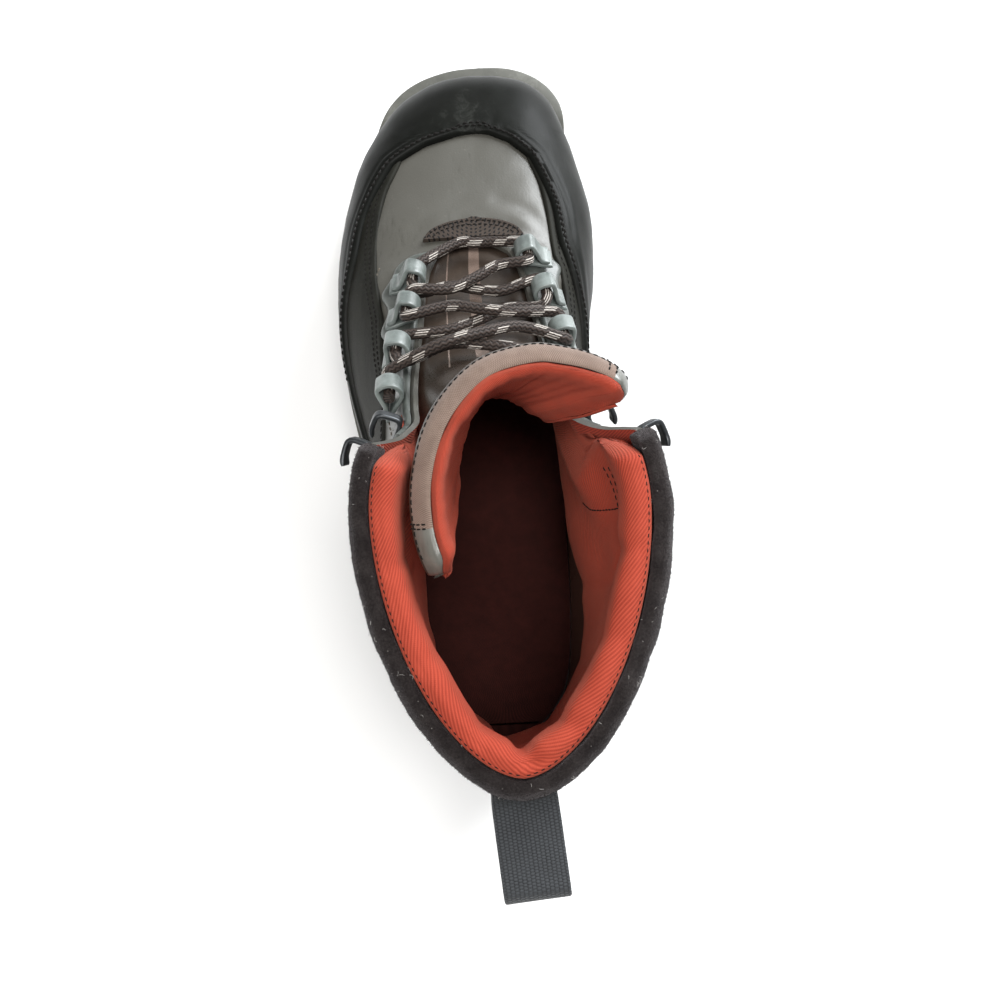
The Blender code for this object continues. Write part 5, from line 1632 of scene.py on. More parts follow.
def ring_piece(name, slot, node, rings, look, reach=1.6, cap=8, angle=60.0):
    """A closed piece from rings, with rounded ends."""
    steps = rings.shape[1]
    ends = []
    for end, way in ((0, 1), (-1, -1)):
        centre = rings[end].mean(axis=0)
        push = rings[end] - rings[end + way]
        push = push.mean(axis=0)
        push /= np.linalg.norm(push)
        extra = []
        for k in range(1, cap + 1):
            a = math.pi / 2 * k / cap
            extra.append(
                centre + (rings[end] - centre) * (math.cos(a) * 0.98 + 0.02) + push * reach * math.sin(a)
            )
        ends.append(extra)
    whole = np.concatenate([np.array(ends[0][::-1]), rings, np.array(ends[1])])
    points = whole.reshape(-1, 3)
    along = np.concatenate([[0.0], np.cumsum(np.linalg.norm(np.diff(whole.mean(axis=1), axis=0), axis=1))])
    middle = whole[len(whole) // 4]
    across = np.concatenate([[0.0], np.cumsum(np.linalg.norm(np.diff(middle, axis=0), axis=1))])
    uv = [(a / 10.0, c / 10.0) for a in along for c in across]
    faces = []
    for i in range(len(whole) - 1):
        for k in range(steps):
            n = (k + 1) % steps
            faces.append([i * steps + k, i * steps + n, (i + 1) * steps + n, (i + 1) * steps + k])
    faces.append(list(range(steps))[::-1])
    faces.append([(len(whole) - 1) * steps + k for k in range(steps)])
    return build(name, points, faces, look, slot, (node,), uv, weld=False, angle=angle)


def dress_collar():
    cuff, foot = CUFF_THICKNESS, LEATHER_DROP - CLEARANCE
    profile = (
        (foot, cuff), (foot, -CUFF_BULGE * 0.4), (0.75 * foot, -CUFF_BULGE), (
            0.35 * foot, -CUFF_BULGE * 0.7
        ),
        (0.08 * foot, cuff * 0.1), (-0.06 * foot, cuff * 0.5), (0.0, cuff), (0.5 * foot, cuff),
    )  # fmt: skip
    rings = collar_rings(profile, lambda depth: FRONT_INSET, many(70), many(48))
    normal = ring_normals(rings)
    rings = rings + normal * (0.22 * waves(rings, 13.0, 31) + 0.10 * waves(rings, 3.5, 32) - 0.1)[..., None]
    cuff_piece = ring_piece("cuff_pile", "cuff_fabric", "cuff", rings, PILE)

    near, back = cuff + 2 * CLEARANCE, WALL + LINING_CLEARANCE
    roll, thin = cuff + CLEARANCE + ROLL_THICKNESS, back + LINING_THICKNESS
    crown = CUFF_BULGE + 0.6
    profile = (
        (LINING_DEPTH, back), (
            0.85 * LINING_DEPTH, back
        ), (0.7 * LINING_DEPTH, back), (0.55 * LINING_DEPTH, back),
        (0.38 * LINING_DEPTH, back), (LEATHER_DROP + 1.6, back),
        (LEATHER_DROP + 0.6, near), (0.5 * LEATHER_DROP, near), (0.0, near + 0.2), (
            -crown, mix(near, roll, 0.3)
        ),
        (
            -crown, mix(near, roll, 0.6)
        ), (0.5, mix(near, roll, 0.9)), (6.0, roll), (12.0, mix(near, roll, 0.95)),
        (18.0, mix(thin, roll, 0.6)), (
            0.36 * LINING_DEPTH, mix(thin, roll, 0.2)
        ), (0.55 * LINING_DEPTH, thin),
        (LINING_DEPTH, thin),
    )  # fmt: skip

    def front(depth):
        return FRONT_INSET + 4.5 + LINING_FRONT * smooth((depth - 22.0) / 28.0)

    rings = collar_rings(profile, front, many(90), many(120))
    inner = np.zeros(rings.shape[:2])
    steps = rings.shape[1]
    spot = np.arange(steps) / steps * 18
    open_side = np.array([smooth((s - 8.6) / 0.8) * smooth((17.6 - s) / 0.6) for s in spot])
    # Where the padding turns sharply at the heel its inside is eased, so that it doesn't fold over.
    off = (np.arange(len(rings)) - len(rings) // 2) / many(9)
    ease = (np.exp(-(off**2))[:, None] * open_side[None, :])[1:-1, :, None]
    for _ in range(many(80)):
        rings[1:-1] += 0.5 * ease * ((rings[:-2] + rings[2:]) / 2 - rings[1:-1])
    normal = ring_normals(rings)
    soft = 0.9 * waves(rings, 30.0, 41) + 0.35 * waves(rings, 12.0, 42)
    creases = (
        # across the roll at places round the collar: position, depth, width
        (0.14, 0.8, 3.0), (0.30, 0.5, 4.0), (0.43, 1.0, 3.5), (0.5, 2.4, 3.2), (
            0.575, 1.0, 3.5
        ), (0.72, 0.6, 4.0), (0.86, 0.9, 3.0),
    )  # fmt: skip
    along = np.concatenate(
        [[0.0], np.cumsum(np.linalg.norm(np.diff(rings[:, steps * 11 // 18], axis=0), axis=1))]
    )
    for at, depth, width in creases:
        slant = (spot - 12)[None, :] * 0.8
        inner -= depth * np.exp(
            -(((along[:, None] + slant - at * along[-1]) / width) ** 2)
        ) * open_side[None, :]
    inner += 0.5 * soft * open_side[None, :]
    fold = np.array([smooth((s - 13.6) / 0.8) * smooth((15.6 - s) / 0.8) for s in spot])
    inner -= 0.8 * fold[None, :]
    rings = rings + normal * inner[..., None]
    lining = ring_piece("collar_roll", "lining_fabric", "collar_lining", rings, LINING, 5.0)
    return cuff_piece, lining


def edge_strip():
    """The leather's top edge, which shows as a thin line outside the pile."""
    parts = np.linspace(0, 1, many(90)) ** 0.95
    line = []
    for side, run in ((0, parts), (1, parts[-2::-1])):
        for part in run:
            line.append(collar_point(side, float(part), LEATHER_DROP + 0.4, -0.7, FRONT_INSET))
    line = resample(np.array(line), 1.2)
    points, faces, uv = round_tube(line, 1.15, 10)
    return build("collar_piping", points, faces, EDGE, "upper_leather", uv=uv, weld=False)


# ---------------------------------------------------------------- the tongue

def tongue_frame():
    rows = (6.35, 6.9, 7.5, 8.2, 9.0, 9.8, 10.5, 11.0, 11.4, 11.8, 12.2, 12.7, 13.3, 14.0, 14.6, 15.0)
    columns = (-1, -0.84, -0.66, -0.45, -0.22, 0, 0.25, 0.5, 0.76, 1)
    grid = refine(tongue_grid(rows, columns), 120, many(110))
    along, across = np.gradient(grid, axis=0), np.gradient(grid, axis=1)
    normal = np.cross(along, across)
    normal /= np.linalg.norm(normal, axis=2, keepdims=True)
    return grid, normal


def tongue_point(line, normal, arc, down, inset):
    """A point of the tongue at a distance down from its top edge and an inset from its front."""
    at = arc[-1] - max(down, 0.0)
    spot = np.array([np.interp(at, arc, line[:, k]) for k in range(3)])
    out = np.array([np.interp(at, arc, normal[:, k]) for k in range(3)])
    out /= np.linalg.norm(out)
    up = line[-1] - line[-4]
    up /= np.linalg.norm(up)
    return spot + up * max(-down, 0.0) - out * inset


def dress_tongue():
    grid, normal = tongue_frame()
    count = grid.shape[1]
    top_edge = lengths(grid[-1])
    front_loops, pad_loops, looks_front, uv_front, uv_pad = [], [], [], [], []
    front_flats, pad_flats = {}, {}
    downs = list(np.linspace(0, 1, many(70)))
    for j in range(count):
        line, out = grid[:, j], normal[:, j]
        arc = lengths(line)
        tip = min(top_edge[j], top_edge[-1] - top_edge[j])
        near = 10.0 if j < count / 2 else 14.0
        drop = near - math.sqrt(max(near**2 - max(near - tip, 0.0) ** 2, 0.0))
        full = mix(7.0, TONGUE_SHELL + CLEARANCE + TONGUE_PAD, smooth(tip / 7.0))
        root = arc[-1] * 0.985
        seam = full * 0.62
        wob = 0.35 * math.sin(top_edge[j] * 0.33) + 0.25 * math.sin(top_edge[j] * 0.83 + 1)
        # The front: from its root up, over the slanted band to the seam, and back behind it.
        outer = [(mix(root, 7.6 + drop, t), 0.0) for t in downs]
        band = [
            (7.0 + drop, -0.55), (6.4 + drop, -0.75), (5.8 + drop, -0.55), (5.4 + drop, -0.1),
            (4.4 + drop, 0.35), (3.0 + drop, 1.3), (1.6 + drop, 0.28 * full), (0.6 + drop, 0.45 * full),
            (0.1 + drop, seam - 0.6), (0.3 + drop, seam)
        ]
        back = [(1.8 + drop, seam - 0.2), (4.0 + drop, 2.0)] + [
            (mix(9.0 + drop, root, t), TONGUE_SHELL) for t in downs[:: 6]
        ]
        loop = outer + band + back
        front_loops.append([tongue_point(line, out, arc, d, t) for d, t in loop])
        front_flats[j if j < count - 1 else -1] = np.array(
            [tongue_point(line, out, arc, d, 1.0) for d, t in loop]
        )
        uv_front.append([(top_edge[j] / 10.0, d / 10.0) for d, t in loop])
        # The pad: from the seam over the roll, down its back and up again behind the front.
        swell = full + 0.5 * wob
        roll = [
            (0.9 + drop, seam - 0.1), (0.2 + drop, seam + 0.25), (-0.5 + drop, seam + 1.0),
            (-0.7 + drop, mix(seam, swell, 0.45)), (0.0 + drop, mix(seam, swell, 0.8)),
            (1.6 + drop, swell * 0.985), (4.0 + drop, swell * 1.01), (8.0 + drop, swell)
        ]
        pocket = [
            (
                mix(11.0 + drop, root, t), max(swell * mix(1.0, 0.62, smooth((t - 0.35) / 0.3)), 3.4)
            ) for t in downs
        ]
        hidden = [
            (mix(root, 6.0 + drop, t), TONGUE_SHELL + CLEARANCE) for t in downs[:: 6]
        ] + [(3.0 + drop, max(seam - 1.0, 2.2))]
        loop = roll + pocket + hidden
        pad_loops.append([tongue_point(line, out, arc, d, t) for d, t in loop])
        pad_flats[j if j < count - 1 else -1] = np.array(
            [tongue_point(line, out, arc, d, swell * 0.6) for d, t in loop]
        )
        uv_pad.append(
            [(top_edge[j] / 10.0, k / len(loop) * 2 * arc[-1] / 10.0) for k, _ in enumerate(loop)]
        )
        zone = []
        for d, _ in outer + band + back:
            zone.append((d - drop, top_edge[j]))
        looks_front.append(zone)
    front_loops, pad_loops = np.array(front_loops), np.array(pad_loops)
    pad_normal = ring_normals(pad_loops)
    soft = 0.35 * waves(pad_loops, 22.0, 51) + 0.15 * waves(pad_loops, 9.0, 52)
    pad_loops = pad_loops + pad_normal * (soft - 0.2)[..., None] * 0.8

    def closed(name, slot, node, loops, uvs, look, flats, reach, which=None):
        for end, way in ((0, 1), (-1, -1)):
            out = grid[-20:, end] - grid[-20:, end + way]
            out = out.mean(axis=0)
            out /= np.linalg.norm(out)
            extra = []
            for k in (1, 2, 3, 4, 5):
                a = math.pi / 2 * k / 5
                thick = math.cos(a) if k < 5 else 0.0
                extra.append(mix(flats[end], loops[end], thick) + out * reach * math.sin(a))
            if end == 0:
                loops, uvs = np.concatenate([np.array(extra[::-1]), loops]), [uvs[0]] * 5 + uvs
            else:
                loops, uvs = np.concatenate([loops, np.array(extra)]), uvs + [uvs[-1]] * 5
        count, steps = loops.shape[:2]
        faces, index = [], []
        for i in range(count - 1):
            for k in range(steps):
                n = (k + 1) % steps
                faces.append([i * steps + k, i * steps + n, (i + 1) * steps + n, (i + 1) * steps + k])
                index.append(which(i, k) if which else 0)
        return build(
            name, loops.reshape(-1, 3), faces, look, slot, (node,), [v for line in uvs for v in line],
            index, 60.0, False
        )

    edge = top_edge[-1]

    def zone_of(i, k):
        down, along = looks_front[min(max(i - 5, 0), len(looks_front) - 1)][k]
        if down < 5.6:
            return 2 if along < 17.0 or along > edge - 13.0 else 1
        if down > 72:
            return 1 if abs(i / count - 0.585) < 0.035 or abs(i / count - 0.40) < 0.008 else 0
        return 0

    front = closed(
        "tongue_front", "tongue_leather", "tongue", front_loops, uv_front, [BROWN, TAUPE, GREY],
        front_flats, 0.3, zone_of
    )
    pad = closed("tongue_pad", "lining_fabric", "tongue_lining", pad_loops, uv_pad, LINING, pad_flats, 1.4)
    return front, grid, normal


# ---------------------------------------------------------------- fittings and laces

def dress_eyes():
    height = COVER + EYESTAY_WALL + 2 * CLEARANCE
    for i, pair in enumerate(EYES):
        for side, row in enumerate(pair):
            origin, out, throat, toe = surface_frame(row, side, EYESTAY_INSET + 1.0, height)
            name = f"lace_eye_{('lateral', 'medial')[side]}_{i + 1}"

            def widths(t):
                return 1.0 + 0.22 * smooth((t - 0.68) / 0.2) + 0.22 * smooth(
                    (0.22 - t) / 0.15
                ) + 0.08 * math.sin(t * math.pi)

            ways = (origin, throat, out, toe)
            ribbon(
                f"{name}_loop", "eye_plastic", name, EYE, eye_path(), EYE_WALL, EYE_LENGTH * 1.12, ways,
                many(64), 0.6, widths
            )


def dress_hooks():
    bend = 2.2
    for i, height in enumerate(HOOK_HEIGHTS):
        for side in (0, 1):
            row = row_at_height(side, 0.0, HEEL_STACK + SHAFT_HEIGHT * height)
            seat = COVER + EYESTAY_WALL + CLEARANCE if row < 15.2 else CLEARANCE
            origin, out, throat, toe = surface_frame(row, side, EYESTAY_INSET + 1.0, seat)
            path = [(-HOOK_TAIL, 0), (-HOOK_TAIL / 2, 0), (-bend, 0)]
            path += [
                (-bend * 0.3, bend * 0.3), (0, bend), (0, HOOK_REACH - bend),
                (-bend * 0.3, HOOK_REACH - bend * 0.3)
            ]
            path += [
                (-bend, HOOK_REACH), (-0.6 * HOOK_TAIL, HOOK_REACH), (-0.85 * HOOK_TAIL, HOOK_REACH - 1.0)
            ]
            path = [(a, b + HOOK_THICKNESS / 2) for a, b in path]
            name = f"lace_hook_{('lateral', 'medial')[side]}_{i + 1}"

            def widths(t):
                return 1.25 - 0.45 * smooth((t - 0.25) / 0.2) + 0.15 * smooth((t - 0.85) / 0.1)

            ways = (origin, throat, out, toe)
            ribbon(
                f"{name}_metal", "hook_metal", name, HOOK, path, HOOK_THICKNESS * 0.85, HOOK_WIDTH, ways,
                many(56), None, widths
            )


def dress_lace(places):
    points, cuts = lace_route(places)
    line = resample(smooth_line(points, [c * 6 for c in cuts]), 0.8)
    for _ in range(3):
        line[1:-1] = (line[:-2] + 2 * line[1:-1] + line[2:]) / 4
    made = round_tube(line, LACE_DIAMETER / 2, 14)
    return build("lace_braid", made[0], made[1], LACE, "lace_fabric", ("lace",), made[2], weld=False)


def dress_pull_loop():
    path, origin, away, across = pull_path()
    ways = (origin, away, np.array([0, 0, 1.0]), across)
    return ribbon(
        "pull_loop_webbing", "webbing_fabric", "pull_loop", WEBBING, path, WEBBING_THICKNESS, WEBBING_WIDTH,
        ways, many(160), 0.8, None, 0.15
    )


# ---------------------------------------------------------------- the sole

def dense_sole(name, slot, node, look, rings_of, rows, relief=None, angle=40.0):
    rings = rings_of(rows)
    rings = [np.array(ring) for ring in rings]
    count, last = len(rings[0]), len(rows) - 1
    if relief:
        rings = relief(rings)
    points = np.concatenate(rings)
    faces, uv = [], []
    plan = lengths(rings[0])
    rise = 0.0
    for i, ring in enumerate(rings):
        if i:
            rise += float(np.mean(np.linalg.norm(ring - rings[i - 1], axis=1)))
        uv += [(a / 10.0, rise / 10.0) for a in plan]
    for i in range(len(rings) - 1):
        for j in range(count):
            k = (j + 1) % count
            faces.append([i * count + j, i * count + k, (i + 1) * count + k, (i + 1) * count + j])
    for base, flip in ((0, True), ((len(rings) - 1) * count, False)):
        for i in range(last):
            left, right = [i, i + 1], [(count - i) % count, (count - i - 1) % count]
            face = [left[0], left[1], right[1], right[0]]
            face = [base + v for n, v in enumerate(face) if v != face[n - 1]]
            faces.append(face[::-1] if flip else face)
    return build(name, points, faces, look, slot, (node,), uv, weld=False, angle=angle)


TOE_RIM_SWELL = 2.4


def dress_midsole():
    rows = cluster((0, 0.5, many(14)), (0.5, 4.5, many(46)), (4.5, 13.0, many(100)), (13.0, 14.0, many(30)))
    arch = lambda y: ARCH_RISE * smooth((y - HEEL_FRONT + 12) / 26)
    sole_top = lambda y: LUG_HEIGHT + (arch(y) if y < HEEL_FRONT + 20 else ground(y)) + OUTSOLE_BASE
    lip = lambda row: mix(TOE_RIM_HEIGHT, SIDE_LIP_HEIGHT, smooth((row - 3.2) / 1.0))
    inner = lambda row: COVER + RAND_WALL + 2 * CLEARANCE + 0.8 * smooth(row - 12.8)
    side = lambda t: lambda row, base, y: mix(sole_top(y) + SEAT_GAP, base, t)
    toe = lambda row: TOE_RIM_SWELL * (1 - smooth((row - 2.2) / 2.0))

    def rings_of(rows):
        rings = []
        for t, offset in (
            (0.0, -0.6), (0.03, -0.1), (0.10, 0.0), (0.2, 0.0), (0.33, 0.0), (0.39, -0.2), (0.42, -1.0),
            (0.46, -GROOVE_DEPTH), (0.54, -GROOVE_DEPTH), (0.58, -1.0), (0.61, -0.2), (0.67, 0.0),
            (0.8, 0.0), (0.92, -0.1)
        ):
            swell = smooth((t - 0.5) / 0.3)
            reach = lambda row, offset=offset, swell=swell: margin(row) + offset + toe(row) * swell
            rings.append(outline(rows, side(t), reach))
        for t, offset in ((0.15, -0.05), (0.5, 0.0), (0.8, -0.15), (0.95, -0.6), (1.0, -1.3)):
            height = lambda row, base, y, t=t: base + t * lip(row)
            reach = lambda row, offset=offset: margin(row) + offset + toe(row)
            rings.append(outline(rows, height, reach))
        rings.append(outline(rows, lambda row, base, y: base + lip(row), lambda row: inner(row) + 0.5))
        rings.append(outline(rows, lambda row, base, y: base + 0.85 * lip(row), inner))
        rings.append(outline(rows, lambda row, base, y: base - SEAT_GAP, inner))
        return rings

    return dense_sole("midsole_side", "midsole_foam", "midsole", FOAM, rings_of, rows)


def dress_insole():
    rows = cluster((0.4, 4.5, many(30)), (4.5, 13.0, many(50)), (13.0, 14.0, many(20)))
    inset = lambda row: -WALL - 0.4

    def rings_of(rows):
        rings = [
            outline(rows, lambda row, base, y: base, lambda row: inset(row) - 1.0),
            outline(rows, lambda row, base, y: base + 0.55 * INSOLE_THICKNESS, inset),
            outline(
                rows, lambda row, base, y: base + 0.85 * INSOLE_THICKNESS, lambda row: inset(row) - 0.5
            ),
            outline(rows, lambda row, base, y: base + INSOLE_THICKNESS, lambda row: inset(row) - 1.6),
        ]
        for ring in rings:
            ring[0] = (ring[1] + ring[-1]) / 2 + np.array([0, 0.5, 0])
        return rings

    return dense_sole("insole_bed", "insole_fabric", "insole", INSOLE, rings_of, rows)


def dress_outsole():
    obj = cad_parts["outsole"]
    obj.data.materials.clear()
    obj.data.materials.append(TREAD)
    round_edges = obj.modifiers.new("edges", "BEVEL")
    round_edges.width = 0.0005
    round_edges.segments = 2
    round_edges.limit_method = "ANGLE"
    round_edges.angle_limit = math.radians(40)
    round_edges.harden_normals = False


# ---------------------------------------------------------------- stitches, pile and lint

# Rows of stitches: pitch, length, radius, lift over the surface and sink at the ends, in millimetres.
RAND_STITCH = (2.8, 1.7, 0.42, 0.22, 0.5)
PALE_STITCH = (2.8, 2.0, 0.30, 0.10, 0.4)
PANEL_STITCH = (2.7, 1.9, 0.28, 0.12, 0.4)
GUARD_STITCH = (2.3, 1.5, 0.30, 0.10, 0.35)
COUNTER_STITCH = (2.8, 2.0, 0.32, 0.15, 0.4)
TONGUE_STITCH = (2.5, 1.8, 0.28, 0.14, 0.4)
TAB_STITCH = (2.2, 1.6, 0.28, 0.14, 0.4)
SEAM_STITCH = (2.3, 1.5, 0.20, 0.05, 0.35)
LINING_STITCH = (2.4, 1.8, 0.26, 0.10, 0.35)


def dress_stitches(upper, rand, counter, panels, guard, lining, front, grid, normal):
    dark, pale = Threads(), Threads()
    over_rand = tree_of(rand)
    spots = [(mix(TOE_CAP_ROW, 8.8, t * t), 0) for t in np.linspace(1, 0, 110)]
    spots += [(mix(TOE_CAP_ROW, 9.6, t * t), 1) for t in np.linspace(0, 1, 120)[1:]]
    line = np.array(
        [raised(row, side, smooth_rand_share(row, side), COVER + RAND_WALL) for row, side in spots]
    )
    for distance in (3.6, 6.2):
        moved = inset_edge(line, over_rand, distance, (0.0, 150.0, 90.0))
        dark.row(moved, over_rand, *RAND_STITCH)
    over_upper = tree_of(upper)
    for side in (0, 1):
        if side == 0:
            line = []
            for row in np.linspace(8.9, 13.95, 70)[:26]:
                share = smooth_rand_share(row, side) - length_share(row, side, 2.6)
                line.append(raised(row, side, share, 0.0))
            pale.row(np.array(line), over_upper, *PALE_STITCH)
        line = []
        for row in np.linspace(7.25, 15.0, 120):
            at, edge = fine_leather_place(row, side, 0.0)
            share = edge + length_share(at, side, EYESTAY_INSET + EYESTAY_WIDTH * 1.08)
            line.append(raised(at, side, share, 0.0))
        pale.row(np.array(line), over_upper, *PALE_STITCH)
        over_panel = tree_of(panels[side])
        for distance in (2.9, 5.2):
            line = []
            for row in np.linspace(5.2, 11.4, 110):
                share = panel_share(row, side) + length_share(row, side, distance)
                line.append(raised(row, side, min(share, 1.0), 1.3))
            dark.row(np.array(line), over_panel, *PANEL_STITCH)
    over_guard = tree_of(guard)
    for distance in (2.0, 4.2):
        arc = []
        turn = np.linspace(0.05, math.pi / 2, 30)
        for side, angles in ((0, turn), (1, np.linspace(math.pi / 2, 0.05, 30))):
            for a in angles:
                row = 6.86 - (0.482 - distance / 23.0) * math.sin(a)
                reach = length_share(row, side, (GUARD_WIDTH - distance) * math.cos(a))
                arc.append(raised(row, side, reach, COVER + GUARD_WALL))
        dark.row(np.array(arc), over_guard, *GUARD_STITCH)
    over_counter = tree_of(counter)
    last = row_at_back(HEEL_STACK + COUNTER_HEIGHT)
    for side in (0, 1):
        line = []
        for row in np.linspace(10.7, last - 0.3, 80):
            edge = counter_share(row, side)
            share = min(edge + length_share(row, side, 3.4), 1.0)
            line.append(raised(row, side, share, COVER + COUNTER_WALL))
        dark.row(np.array(line), over_counter, *COUNTER_STITCH)
    # The tongue: two rows along the band under its top edge, and one across each end.
    over_tongue = tree_of(front)
    top_edge = lengths(grid[-1])
    for down in (8.9, 4.9):
        line = []
        for j in range(6, grid.shape[1] - 6):
            arc = lengths(grid[:, j])
            line.append(tongue_point(grid[:, j], normal[:, j], arc, down, 0.3))
        dark.row(np.array(line), over_tongue, *TONGUE_STITCH)
    full = TONGUE_SHELL + CLEARANCE + TONGUE_PAD
    turn_over = (
        (9.5, 0.0), (6.4, -0.7), (4.4, 0.35), (3.0, 1.3), (1.6, 0.28 * full), (0.6, 0.45 * full),
        (0.2, 0.58 * full)
    )
    for place in (17.0, 19.2, top_edge[-1] - 13.0, top_edge[-1] - 15.2):
        j = int(np.argmin(np.abs(top_edge - place)))
        arc = lengths(grid[:, j])
        line = [tongue_point(grid[:, j], normal[:, j], arc, down, high) for down, high in turn_over]
        dark.row(np.array(line), over_tongue, *TAB_STITCH)
    # The seam between the pile and the lining, and two rows on the lining by its front corners.
    over_lining = tree_of(lining)
    parts = np.linspace(0.02, 1, 120)
    for side in (0, 1):
        line = [collar_point(side, float(p), -1.6, CUFF_THICKNESS + 1.6, FRONT_INSET) for p in parts]
        dark.row(np.array(line), over_lining, *SEAM_STITCH)
    inner = LINING_CLEARANCE + WALL + LINING_THICKNESS + 3
    for depth in (21.0, 25.0):
        parts = np.linspace(0.02, 0.15, 20)
        line = [collar_point(1, float(p), depth, inner, FRONT_INSET + 6) for p in parts]
        dark.row(np.array(line), over_lining, *LINING_STITCH)
    line = [collar_point(1, 0.15, depth, inner, FRONT_INSET + 6) for depth in np.linspace(21.0, 60.0, 20)]
    dark.row(np.array(line), over_lining, *LINING_STITCH)
    dark.piece("dark_stitches", DARK_THREAD, "lace_fabric")
    pale.piece("pale_stitches", PALE_THREAD, "lace_fabric")


def surface_spots(obj, count, keep):
    """Random spots over the faces of a piece that keep accepts, each with its normal, in millimetres."""
    mesh = obj.data
    areas, centres = np.empty(len(mesh.polygons)), np.empty(len(mesh.polygons) * 3)
    mesh.polygons.foreach_get("area", areas)
    mesh.polygons.foreach_get("center", centres)
    normals = np.empty(len(mesh.polygons) * 3)
    mesh.polygons.foreach_get("normal", normals)
    centres, normals = centres.reshape(-1, 3) * 1000, normals.reshape(-1, 3)
    areas = areas * keep(centres, normals)
    chosen = rng.choice(len(areas), size=count, p=areas / areas.sum())
    size = np.sqrt(areas[chosen] * 1e6)[:, None]
    jitter = rng.normal(size=(count, 3)) * size * 0.4
    jitter -= normals[chosen] * np.sum(jitter * normals[chosen], axis=1, keepdims=True)
    return centres[chosen] + jitter, normals[chosen]


FIBRES = 15000
LINT_BITS = 45


def dress_pile(cuff):
    """Short fibres over the pile, and a few pale bits of lint caught in it."""
    spots, normals = surface_spots(cuff, FIBRES, lambda c, n: (n[:, 2] > -0.3).astype(float))
    points, faces = [], []
    for spot, normal in zip(spots, normals):
        lean = normal + rng.normal(size=3) * 0.55
        lean /= np.linalg.norm(lean)
        side = np.cross(lean, rng.normal(size=3))
        side /= np.linalg.norm(side)
        other = np.cross(lean, side)
        size, tall = rng.uniform(0.07, 0.12), rng.uniform(0.25, 0.62)
        first = len(points)
        for a in (0, 2.094, 4.189):
            points.append(spot - normal * 0.2 + (side * math.cos(a) + other * math.sin(a)) * size)
        points.append(spot + lean * tall)
        faces += [[first + i, first + (i + 1) % 3, first + 3] for i in range(3)]
    build("cuff_fibres", points, faces, FUZZ, "cuff_fabric", weld=False, angle=80)
    lint = Threads()
    spots, normals = surface_spots(cuff, LINT_BITS, lambda c, n: (n[:, 2] > 0.2).astype(float))
    for spot, normal in zip(spots, normals):
        way = np.cross(normal, rng.normal(size=3))
        way /= np.linalg.norm(way)
        bend = np.cross(normal, way) * rng.normal() * 0.6
        size = rng.uniform(0.4, 1.7)
        t = np.linspace(-1, 1, 7)[:, None]
        line = spot + normal * (0.75 - 0.5 * t**2) + way * size / 2 * t + bend * t**2 * size / 2
        lint.add(*round_tube(line, rng.uniform(0.035, 0.06), 4))
    lint.piece("lint", LINT, "cuff_fabric")


# ---------------------------------------------------------------- camera and light

IMAGE_SIDE = 1000.0
SENSOR = 36.0
FLOOR_REACH = 40


def aim_camera():
    """The photograph's viewpoint over the boot, turned a little so that the boot is in the middle."""
    position = Vector((0.00134, 0.00108, 0.573))
    right = Vector((0.9944679, -0.0657432, 0.0819232))
    up = Vector((0.0516287, 0.9851339, 0.1638464))
    back = Vector((-0.0914771, -0.1587104, 0.9830783))
    focal = 1200.0
    centre = (393.0, 559.0)
    middle = IMAGE_SIDE / 2
    look = right * ((centre[0] - middle) / focal) - up * ((centre[1] - middle) / focal) - back
    look.normalize()
    new_back = -look
    new_up = (up - look * up.dot(look)).normalized()
    new_right = new_up.cross(new_back)
    lens = bpy.data.cameras.new("camera")
    lens.sensor_width = SENSOR
    lens.lens = focal * SENSOR / IMAGE_SIDE
    lens.clip_start = 0.01
    camera = bpy.data.objects.new("camera", lens)
    bpy.context.scene.collection.objects.link(camera)
    turn = Matrix((new_right, new_up, new_back)).transposed().to_4x4()
    camera.matrix_world = Matrix.Translation(position) @ turn
    bpy.context.scene.camera = camera


def area_light(name, place, target, size, power, colour=(1, 1, 1)):
    lamp = bpy.data.lights.new(name, "AREA")
    lamp.shape = "DISK"
    lamp.size = size
    lamp.energy = power
    lamp.color = colour
    obj = bpy.data.objects.new(name, lamp)
    bpy.context.scene.collection.objects.link(obj)
    obj.location = place
    way = Vector(target) - Vector(place)
    obj.rotation_euler = way.to_track_quat("-Z", "Y").to_euler()


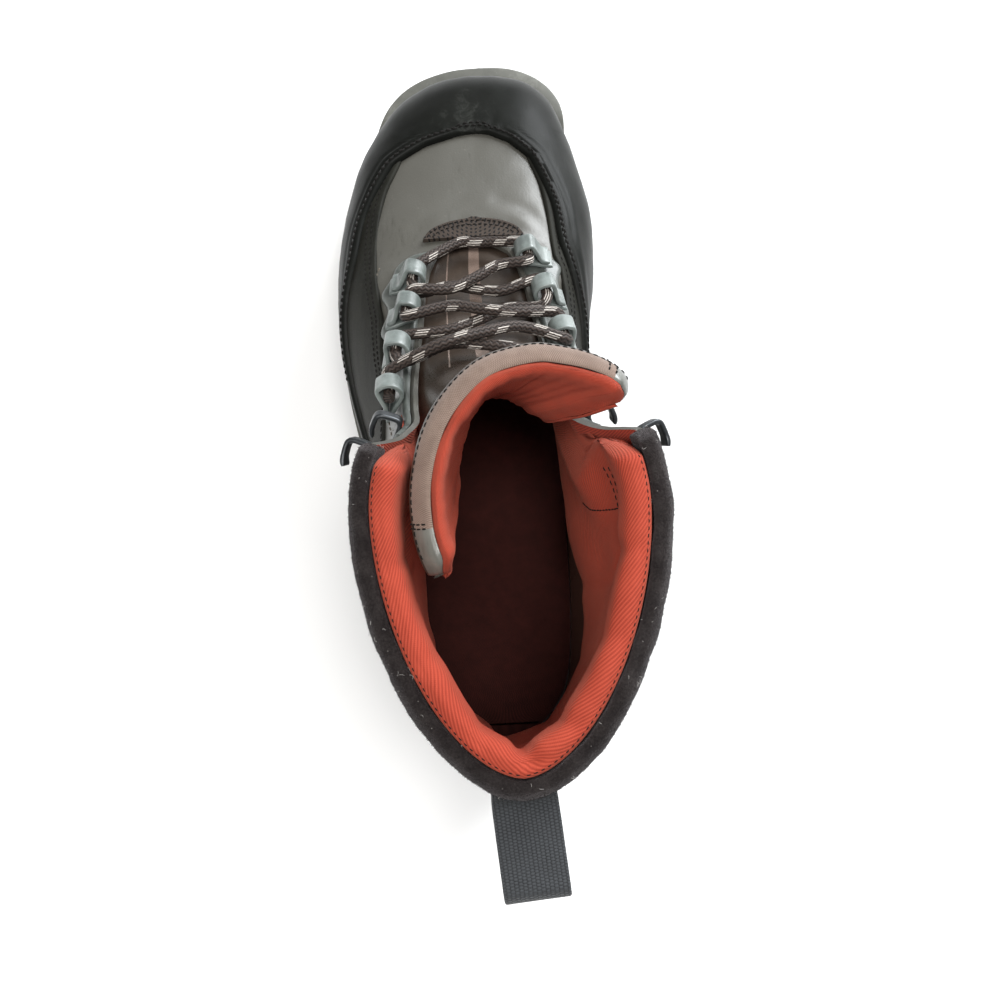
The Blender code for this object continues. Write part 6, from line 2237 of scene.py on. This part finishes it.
def light_stage():
    world = bpy.data.worlds.new("studio")
    bpy.context.scene.world = world
    world.use_nodes = True
    sky = world.node_tree.nodes["Background"]
    sky.inputs["Color"].default_value = (0.97, 0.985, 1.0, 1.0)
    # The studio is darker on the boot's outer side.
    place = world.node_tree.nodes.new("ShaderNodeTexCoord")
    parts = world.node_tree.nodes.new("ShaderNodeSeparateXYZ")
    fall = world.node_tree.nodes.new("ShaderNodeMapRange")
    world.node_tree.links.new(place.outputs["Generated"], parts.inputs[0])
    world.node_tree.links.new(parts.outputs[0], fall.inputs["Value"])
    for name, value in (("From Min", -0.8), ("From Max", 0.8), ("To Min", 0.24), ("To Max", 0.70)):
        fall.inputs[name].default_value = value
    world.node_tree.links.new(fall.outputs["Result"], sky.inputs["Strength"])
    area_light("key", (0.66, 0.95, 0.50), (0.0, 0.12, 0.08), 0.70, 22.0, (0.94, 0.975, 1.0))
    area_light("fill", (-0.45, -0.20, 1.05), (0.0, 0.0, 0.10), 0.6, 5.5, (1.0, 0.985, 0.96))
    area_light("top", (0.10, 0.05, 1.35), (0.0, 0.0, 0.1), 0.35, 8.0, (1.0, 0.98, 0.95))
    bpy.context.scene.view_settings.view_transform = "Standard"
    floor = bpy.data.meshes.new("floor")
    corners = [(x * FLOOR_REACH, y * FLOOR_REACH, 0) for x, y in ((-1, -1), (1, -1), (1, 1), (-1, 1))]
    floor.from_pydata(corners, [], [(0, 1, 2, 3)])
    look = Look("floor paper", rough=0.9, spec=0.1)
    look.colour(look.mix(look.noise(300.0, 2.0), (0.92, 0.92, 0.92), (0.95, 0.95, 0.95)))
    floor.materials.append(look.mat)
    obj = bpy.data.objects.new("floor", floor)
    bpy.context.scene.collection.objects.link(obj)


def main():
    aim_camera()
    dress_outsole()
    dress_midsole()
    dress_insole()
    upper = dress_upper()
    rand = dress_rand()
    counter = dress_counter()
    panels = dress_panels()
    dress_eyestays()
    guard = dress_guard()
    cuff, lining = dress_collar()
    edge_strip()
    front, grid, normal = dress_tongue()
    dress_eyes()
    dress_lace(eye_places())
    dress_hooks()
    dress_pull_loop()
    dress_stitches(upper, rand, counter, panels, guard, lining, front, grid, normal)
    dress_pile(cuff)
    light_stage()


main()
